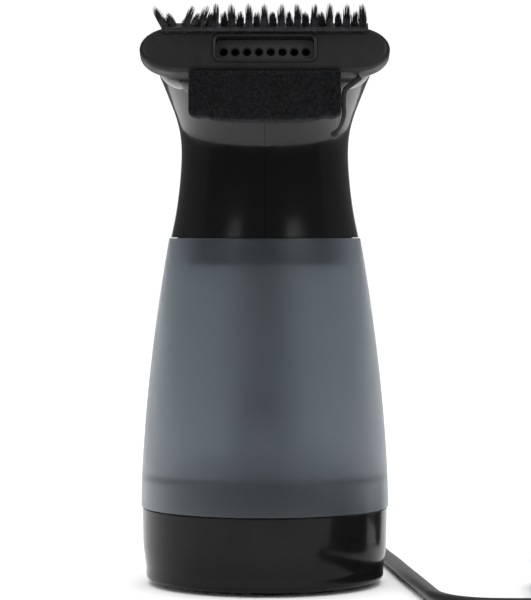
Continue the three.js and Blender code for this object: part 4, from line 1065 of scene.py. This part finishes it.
def make_case():
    outer = remeshed(raw_object("case_outer", rough_case(0)), 1.0, 0.0)
    inner = remeshed(raw_object("case_inner", rough_case(WALL)), 1.3, -WALL)
    bosses = raw_object("bosses", merge(
        *[rod_x(3.4, -half, half, y, z) for y, z, half in CASE_SCREWS],
        *[rod_x(3.5, *sorted((side * 5.8, side * 14)), *TRIGGER["pivot"]) for side in (-1, 1)]))
    boolean(bosses, outer, operation="INTERSECT")
    shell = copied(outer, "case_shell")
    boolean(shell, inner)
    lid = copied(shell, "look_filler_lid")
    joined(shell, bosses)
    for side in (-1, 1):
        ends = sorted((side * 5.3, side * 9))
        joined(shell, rod_x(LID["knuckle"], *ends, LID["hinge_y"], LID["hinge_z"]))
        joined(shell, block(ends, (16.6, 20.6), (228, 233.2), 0.2, 0.3))
    for shape in case_cuts():
        boolean(shell, shape)
    boolean(shell, rod_x(1.8, -12.6, 12.6, *TRIGGER["pivot"]))
    for side, name in ((-1, "housing_left"), (1, "housing_right")):
        half = copied(shell, "look_" + name)
        ends = sorted((side * 0.06, side * 80))
        boolean(half, block(ends, (-120, 120), (-10, 260), 0.01, 0.01), operation="INTERSECT")
        finished(half, "gloss_graphite", nodes=[name])
    for thing in (outer, inner, bosses, shell):
        bpy.data.objects.remove(thing)
    return lid


def make_lid(lid):
    boolean(lid, rod_z(LID["radius"], 222, 245, 0, LID["y"], sides=96), operation="INTERSECT")
    joined(lid, rod_x(LID["knuckle"], -5, 5, LID["hinge_y"], LID["hinge_z"]))
    joined(lid, block((-5, 5), (10, LID["hinge_y"]), (231, 234.2), 0.4, 0.6))
    spigot = lathe(rounded([(13.2, 223, 0.5), (15, 223, 0.7), (15, 232), (13.2, 232)], True), 96)
    joined(lid, moved(spigot, 0, LID["y"]))
    tab = block((-6, 6), (LID["y"] - LID["radius"] + 0.8, LID["y"] - LID["radius"] + 4.4), (232, 234.7),
                0.8, 1.6)
    joined(lid, tab)
    boolean(lid, rod_x(1.4, -12, 12, LID["hinge_y"], LID["hinge_z"]))
    finished(lid, "gloss_graphite", "lid", ["filler_lid"])
    seal = [(15.3, 224, 0.4), (16.6, 224.3, 0.4), (16.2, 225.2, 0.3), (16.6, 226.1, 0.4), (16.6, 227.4, 0.4),
            (15.3, 227.4, 0.4)]
    build("lid_seal", moved(spun(seal, 80), 0, LID["y"]), "silicone", "lid")
    build("lid_hinge_pin", rod_x(LID["pin"], -9, 9, LID["hinge_y"], LID["hinge_z"], 0.3), "bright_steel")


def make_funnel():
    """The filler's funnel, a thin wall that widens to its mouth under the lid."""
    low = box_of("filler_funnel")[0][2]
    stations = catmull([(low, -8, 10), (180, -8, 10), (204, -6, 12), (222, -4, 18), (228, -4, 18)], 10)
    stations = [s for s in stations if s[0] <= 228]
    rings = []
    for wall, order in ((1.6, stations), (0, stations[::-1])):
        for z, y, radius in order:
            spots = circle(radius + wall, 72)
            rings.append(np.column_stack([spots[:, 0], spots[:, 1] + y, np.full(72, z)]))
    build("filler_funnel", loft(rings, ring=True), "inner_plastic", less=[rod_z(40, 229, 240)])


# ---- valve, trigger, switch and lock


def make_valve():
    height = ROD_HEIGHT
    valve = raw_object("look_steam_valve", rod_y(6.5, 13, 28, 0, height, 0.8, 48))
    joined(valve, rod_z(4.4, 196.3, height, 0, 16), rod_x(4, 0, 11, 19, height, 0.4))
    for y in (16, 25):
        ring = turned(lathe([(6.1, y), (7, y), (7, y + 0.9), (6.1, y + 0.9)], 48), LAY_Y)
        boolean(valve, moved(ring, 0, 0, height))
    boolean(valve, rod_y(2.3, 14.6, 30, 0, height))
    finished(valve, "brass")
    profile = rounded([(0, 17), (2, 17, 0.4), (2, 37), (3.9, 37, 0.3), (3.9, 39, 0.3), (2, 39),
                       (2, 79, 0.6), (0, 79)])
    build("push_rod", moved(turned(lathe(profile, 32), LAY_Y), 0, 0, height), "bright_steel", "valve_stem")
    low, high = box_of("valve_spring")
    turns = np.linspace(0, 4 * 2 * math.pi, 160)
    along = np.linspace(low[1] + 0.5, high[1] - 0.5, len(turns))
    path = np.column_stack([3.2 * np.cos(turns), along, height + 3.2 * np.sin(turns)])
    spring = build("valve_spring", sweep(path, circle(0.5, 10)), "bright_steel")
    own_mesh(spring)


def make_hose():
    def in_head(*spot):
        return at_head(([spot], []))[0][0]

    path = catmull([(11.3, 19, 208), (13.3, 19, 208), (20, 17, 208), (25, 6, 209), (26, -8, 211),
                    (21, -25, 214),
                    in_head(15, -1, -29), in_head(12, 0, -20.3), in_head(12, 0, -18.3)], 10)
    build("steam_hose", pipe(path, 4, 2.8, 24), "silicone")


def make_trigger():
    outline = [(79.3, 209.6, 0.6), (81, 209.6, 1), (86.4, 202, 4), (87, 195, 4), (82.4, 188, 4),
               (81, 158, 2), (77, 155.8, 2),
               (74, 157, 2), (71.6, 166, 6), (71, 178, 6), (72.6, 187, 5), (77, 194.4, 4), (79.3, 200, 3)]
    points = rounded(outline, True, 6)
    lever = raw_object("look_trigger", turned(slab(points, -5.5, 5.5, 1.2, 4), LAY_X))
    boolean(lever, rod_x(1.8, -12, 12, *TRIGGER["pivot"]))
    for i in range(5):
        z = 162 + 5 * i
        y = float(np.interp(z, (157, 166, 178, 187), (74, 71.6, 71, 72.6)))
        boolean(lever, rod_x(0.7, -4, 4, y - 0.25, z, 0.3))
    finished(lever, "matte_black", "trigger_lever")
    build("trigger_pin", rod_x(TRIGGER["pin"], -12, 12, *TRIGGER["pivot"], 0.3), "bright_steel")


def make_controls():
    low, high, (_, y, z) = span_of("lock_button")
    profile = [(0, low[0]), (2, low[0] + 0.2, 0.5), (3, low[0], 0.7), (3, high[0], 0.7),
               (2, high[0] - 0.2, 0.5),
               (0, high[0])]
    build("lock_button", moved(spun(profile, 40, LAY_X), 0, y, z), "matte_black", "lock")
    low, high = box_of("power_slider")
    front, back = low[1] + 4, high[1] - 4
    slider = raw_object("look_power_slider", block((-4, 4), (front, back), (217.6, 226), 0.9, 0.9))
    joined(slider, block((-5.5, 5.5), (low[1], high[1]), (217.6, 219), 0.2, 0.5))
    for groove in (1.5, 3, 4.5):
        boolean(slider, rod_x(0.45, -3.2, 3.2, front + groove, 226.0))
    finished(slider, "matte_black", "power_button")
    low, high = box_of("switch_body")
    window = block((-3, 3), (low[1] + 3, high[1] - 3), (high[2] - 1.5, high[2] + 1), 0.1, 0.4)
    build("switch_body", block(*zip(low, high), 0.4, 0.6), "inner_plastic", less=[window])
    low, high = box_of("pilot_lens")
    lens = rounded([(0, low[2]), (2.2, low[2], 0.2), (2.2, high[2] - 1.4, 1.2), (1.2, high[2] - 0.2, 0.8),
                    (0, high[2])], steps=6)
    build("pilot_lens", moved(lathe(lens, 40), 0, (low[1] + high[1]) / 2), "pilot_red", sharp=60)


# ---- steam head and brush

HOLES = {"count": 8, "pitch": 4.8, "radius": 1.9}
HOLE_SPOTS = [(i - (HOLES["count"] - 1) / 2) * HOLES["pitch"] for i in range(HOLES["count"])]


def make_steam_plate():
    plate = raw_object("look_steam_plate", at_head(slab(oval(40.5, 5.5, count=96), -2, 0, 0.4)))
    for x in HOLE_SPOTS:
        funnelled = lathe(rounded([(0, -5), (HOLES["radius"] - 0.35, -5), (HOLES["radius"] - 0.35, -0.6, 0.2),
                                   (HOLES["radius"] + 0.1, 0.02), (HOLES["radius"] + 0.1, 2), (0, 2)]), 32)
        boolean(plate, at_head(moved(funnelled, x)))
    finished(plate, "inner_plastic")
    build("steam_chamber", at_head(slab(oval(26, 5, count=80), -13, -2.3, 0.6)), "inner_plastic",
          plus=[at_head(rod_z(3.6, -18, -12, 12))],
          less=[at_head(slab(oval(24.4, 3.4, count=80), -11.4, 5, 0.3)), at_head(rod_z(2.4, -19, -10, 12))])


APRON = {"half_width": 30.8, "bottom": -29.2, "corner": 7.5, "chin": 1.7}


def apron_outline(inset, high):
    """The pad's shape: square at the top, round lower corners and a slight belly."""
    half, low, corner = APRON["half_width"] - inset, APRON["bottom"] + inset, APRON["corner"] - inset
    across = np.linspace(half - corner, corner - half, 25)[1:-1]
    belly = [(x, low - APRON["chin"] * (1 - (x / half) ** 2)) for x in across]
    right = rounded([(half, high, 0.4), (half, low, corner), (half - corner, low)], steps=8)
    right = [p for p in right if p[0] >= half - corner - 1e-6]
    left = [(-x, y) for x, y in reversed(right)]
    return np.array([*right, *belly, *left])


def make_brush_frame():
    """The clip-on frame: a fat rounded bar with a window for the steam, and the plate that backs the pad."""
    frame_piece = raw_object("look_brush_frame", at_head(slab(oval(50.7, 9.6, 15, 128), -6.8, 5, 2.6, 8)))
    plate = slab(apron_outline(0, -2), 1.4, 3.8, 0.6)
    joined(frame_piece, at_head(plate))
    boolean(frame_piece, at_head(slab(oval(43.3, 8.3, count=96), -12, 0.3, 0.2)))
    window = slab(rectangle(-20, 20, -4.9, 4.9, 2.5, 8), -2, 8, 0.01)
    boolean(frame_piece, at_head(window))
    lip = slab(rectangle(-21.4, 21.4, -6.1, 6.3, 3.4, 8), 4.2, 8, 0.01)
    boolean(frame_piece, at_head(lip))
    rim_outer, rim_inner = rectangle(-21.1, 21.1, -5.9, 6.1, 3.2, 8), rectangle(-20, 20, -4.9, 4.9, 2.5, 8)
    rings = [at_level(ring, z) for ring, z in
             ((rim_outer, 3.9), (rim_outer, 5.3), (0.5 * (rim_outer + rim_inner), 5.6), (rim_inner, 5.3),
              (rim_inner, 3.9))]
    joined(frame_piece, at_head(loft(rings, ring=True)))
    finished(frame_piece, "matte_black", "brush_head")


def fibre(root, direction, length, width, bend):
    """One tapered three-sided fibre, bent a little towards its side."""
    direction = direction / np.linalg.norm(direction)
    side = np.cross(direction, (0.3, 0.9, 0.2))
    side /= np.linalg.norm(side)
    other = np.cross(direction, side)
    turns = np.radians((0, 120, 240))
    points = []
    for share, size in ((0, 1.0), (0.55, 0.85)):
        middle = root + direction * length * share + bend * share**2
        points += [middle + width * size * (math.cos(t) * side + math.sin(t) * other) for t in turns]
    points.append(root + direction * length + bend)
    faces = [(0, 1, 4, 3), (1, 2, 5, 4), (2, 0, 3, 5), (3, 4, 6), (4, 5, 6), (5, 3, 6), (2, 1, 0)]
    return points, faces


BAR = [(8.2, 1.6), (11.1, 1.6, 0.6), (11.1, 3.8, 0.8), (8, 7.4, 0.6), (6.4, 7.4, 0.4), (6.4, 5.3), (8.2, 5.3)]
TUFT_ROWS = [  # up, forward, lean from upright in degrees, length, sideways shift in pitches
    (7.4, 6.9, 22, 10.2, 0.0),
    (8.8, 6.0, 40, 6.4, 0.5),
    (10.2, 4.4, 64, 6.2, 0.0),
    (10.6, 2.6, 80, 7.2, 0.5),
]
TUFTS = {"count": 13, "pitch": 6.6, "half_width": 41.8, "fibres": 46}


def tuft_lean(index):
    """How far a tuft leans sideways: worn tufts near the left end fall over."""
    return {0: -0.5, 1: 0.42, 2: 0.3}.get(index, 0.0) + random.normal(0, 0.03)


def make_bristles():
    bar = slab(rounded(BAR, True), -TUFTS["half_width"], TUFTS["half_width"], 0.2)
    strip = raw_object("look_bristle_strip", at_head(turned(bar, LAY_X)))
    points, faces = [], []
    for up, forward, lean, length, shift in TUFT_ROWS:
        for i in range(TUFTS["count"] - math.ceil(shift)):
            x = (i - (TUFTS["count"] - 1) / 2 + shift) * TUFTS["pitch"]
            heading = np.array([tuft_lean(i), math.cos(math.radians(lean)), math.sin(math.radians(lean))])
            for _ in range(TUFTS["fibres"]):
                spread = np.clip(random.normal(0, 1, 3), -2, 2)
                root = np.array([x + 0.6 * spread[0], up - 0.8 + 0.35 * spread[1], forward - 0.8])
                direction = heading + np.array([0.03 * spread[0], 0.03 * spread[1], 0.03 * spread[2]])
                long = (length + 1.2) * (1 - 0.1 * spread[0] ** 2 / 2) * random.uniform(0.94, 1.03)
                made, ends = fibre(root, direction, long, 0.2, random.normal(0, 0.1, 3))
                faces += [[len(points) + k for k in face] for face in ends]
                points += made
    join(strip, raw_object("fibres", at_head((points, faces))))
    finished(strip, "bristle", "brush_head")


def join(first, second):
    """Puts two objects' meshes in the first."""
    made = bmesh.new()
    made.from_mesh(first.data)
    made.from_mesh(second.data)
    made.to_mesh(first.data)
    made.free()
    bpy.data.objects.remove(second)


def make_pad():
    """The velour pad: a soft crowned cushion with a short pile standing on it."""
    high = -9.9
    base_outline = apron_outline(0.3, high)
    middle = base_outline.mean(axis=0)
    rings = []
    for share, z in ((1.0, 4.1), (1.006, 4.9), (0.995, 5.6), (0.97, 6.1), (0.93, 6.35), (0.8, 6.5),
                     (0.5, 6.6), (0.2, 6.65)):
        ring = middle + (base_outline - middle) * share
        rings.append(at_level(ring, z))
    pad = raw_object("look_lint_pad", at_head(loft(rings)))
    points, faces = [], []
    step = 0.82
    for x in np.arange(-APRON["half_width"] + 0.6, APRON["half_width"] - 0.4, step):
        for y in np.arange(APRON["bottom"] - APRON["chin"] + 0.6, high, step):
            spot = np.array([x, y]) + random.uniform(-0.4, 0.4, 2)
            if not inside(spot, base_outline):
                continue
            depth = edge_distance(spot, base_outline)
            z = 6.55 - 1.4 * max(0, 1 - depth / 1.6) ** 2
            heading = np.array([random.normal(0, 0.3), random.normal(-0.25, 0.3), 1.0])
            if depth < 1.2:
                heading += 0.8 * np.array([*np.sign(spot - middle), 0]) * [1, 1, 0]
            made, ends = fibre(np.array([*spot, z - 0.3]), heading, random.uniform(0.9, 1.35), 0.2,
                               np.zeros(3))
            faces += [[len(points) + k for k in face] for face in ends]
            points += made
    join(pad, raw_object("pile", at_head((points, faces))))
    finished(pad, "pile", "brush_head", ["lint_pad"])


def inside(spot, outline):
    x, y = spot
    a, b = outline, np.roll(outline, -1, axis=0)
    crosses = (a[:, 1] > y) != (b[:, 1] > y)
    with np.errstate(divide="ignore", invalid="ignore"):
        at = a[:, 0] + (y - a[:, 1]) * (b[:, 0] - a[:, 0]) / (b[:, 1] - a[:, 1])
    return bool(np.sum(crosses & (x < at)) % 2)


def edge_distance(spot, outline):
    a, b = outline, np.roll(outline, -1, axis=0)
    along = b - a
    share = np.clip(np.sum((spot - a) * along, axis=1) / np.maximum(np.sum(along**2, axis=1), 1e-9), 0, 1)
    return float(np.min(np.linalg.norm(a + along * share[:, None] - spot, axis=1)))


def make_strap():
    """The thin moulded tail that holds the brush, with a bulb on its end."""
    path = catmull([(38.6, -10.2, -2), (35, -13.4, -1.5), (32.4, -16.4, 0), (31.8, -22, 1), (31.9, -27, 0.6),
                    (30.6, -31, -1.6), (28, -34, -4.5)], 8)
    steps = np.linspace(0, 1, len(path))
    scales = 1.25 - 0.5 * steps + 0.9 * np.exp(-(((steps - 1) / 0.06) ** 2))
    strap = sweep(path, oval(1.0, 0.7, 1.0, 16), scales)
    bulb = spun([(0, -1.5), (1.1, -1.5, 0.8), (1.5, 0, 0.8), (1.1, 1.5, 0.8), (0, 1.5)], 20)
    build("retaining_strap", at_head(strap), "soft_rubber", "brush_head", 50,
          plus=[at_head(moved(bulb, 28, -34, -4.5))])


# ---- the whole scene

make_camera()
make_studio()
materials = make_materials()
cord = make_cord()
relief = make_relief()
plug_pieces = make_plug()
tie = make_tie()
make_base()
make_feet()
make_screws()
make_tank()
make_boiler()
make_heater()
make_wiring()
make_lid(make_case())
make_funnel()
make_valve()
make_hose()
make_trigger()
make_controls()
make_steam_plate()
make_brush_frame()
make_bristles()
make_pad()
make_strap()
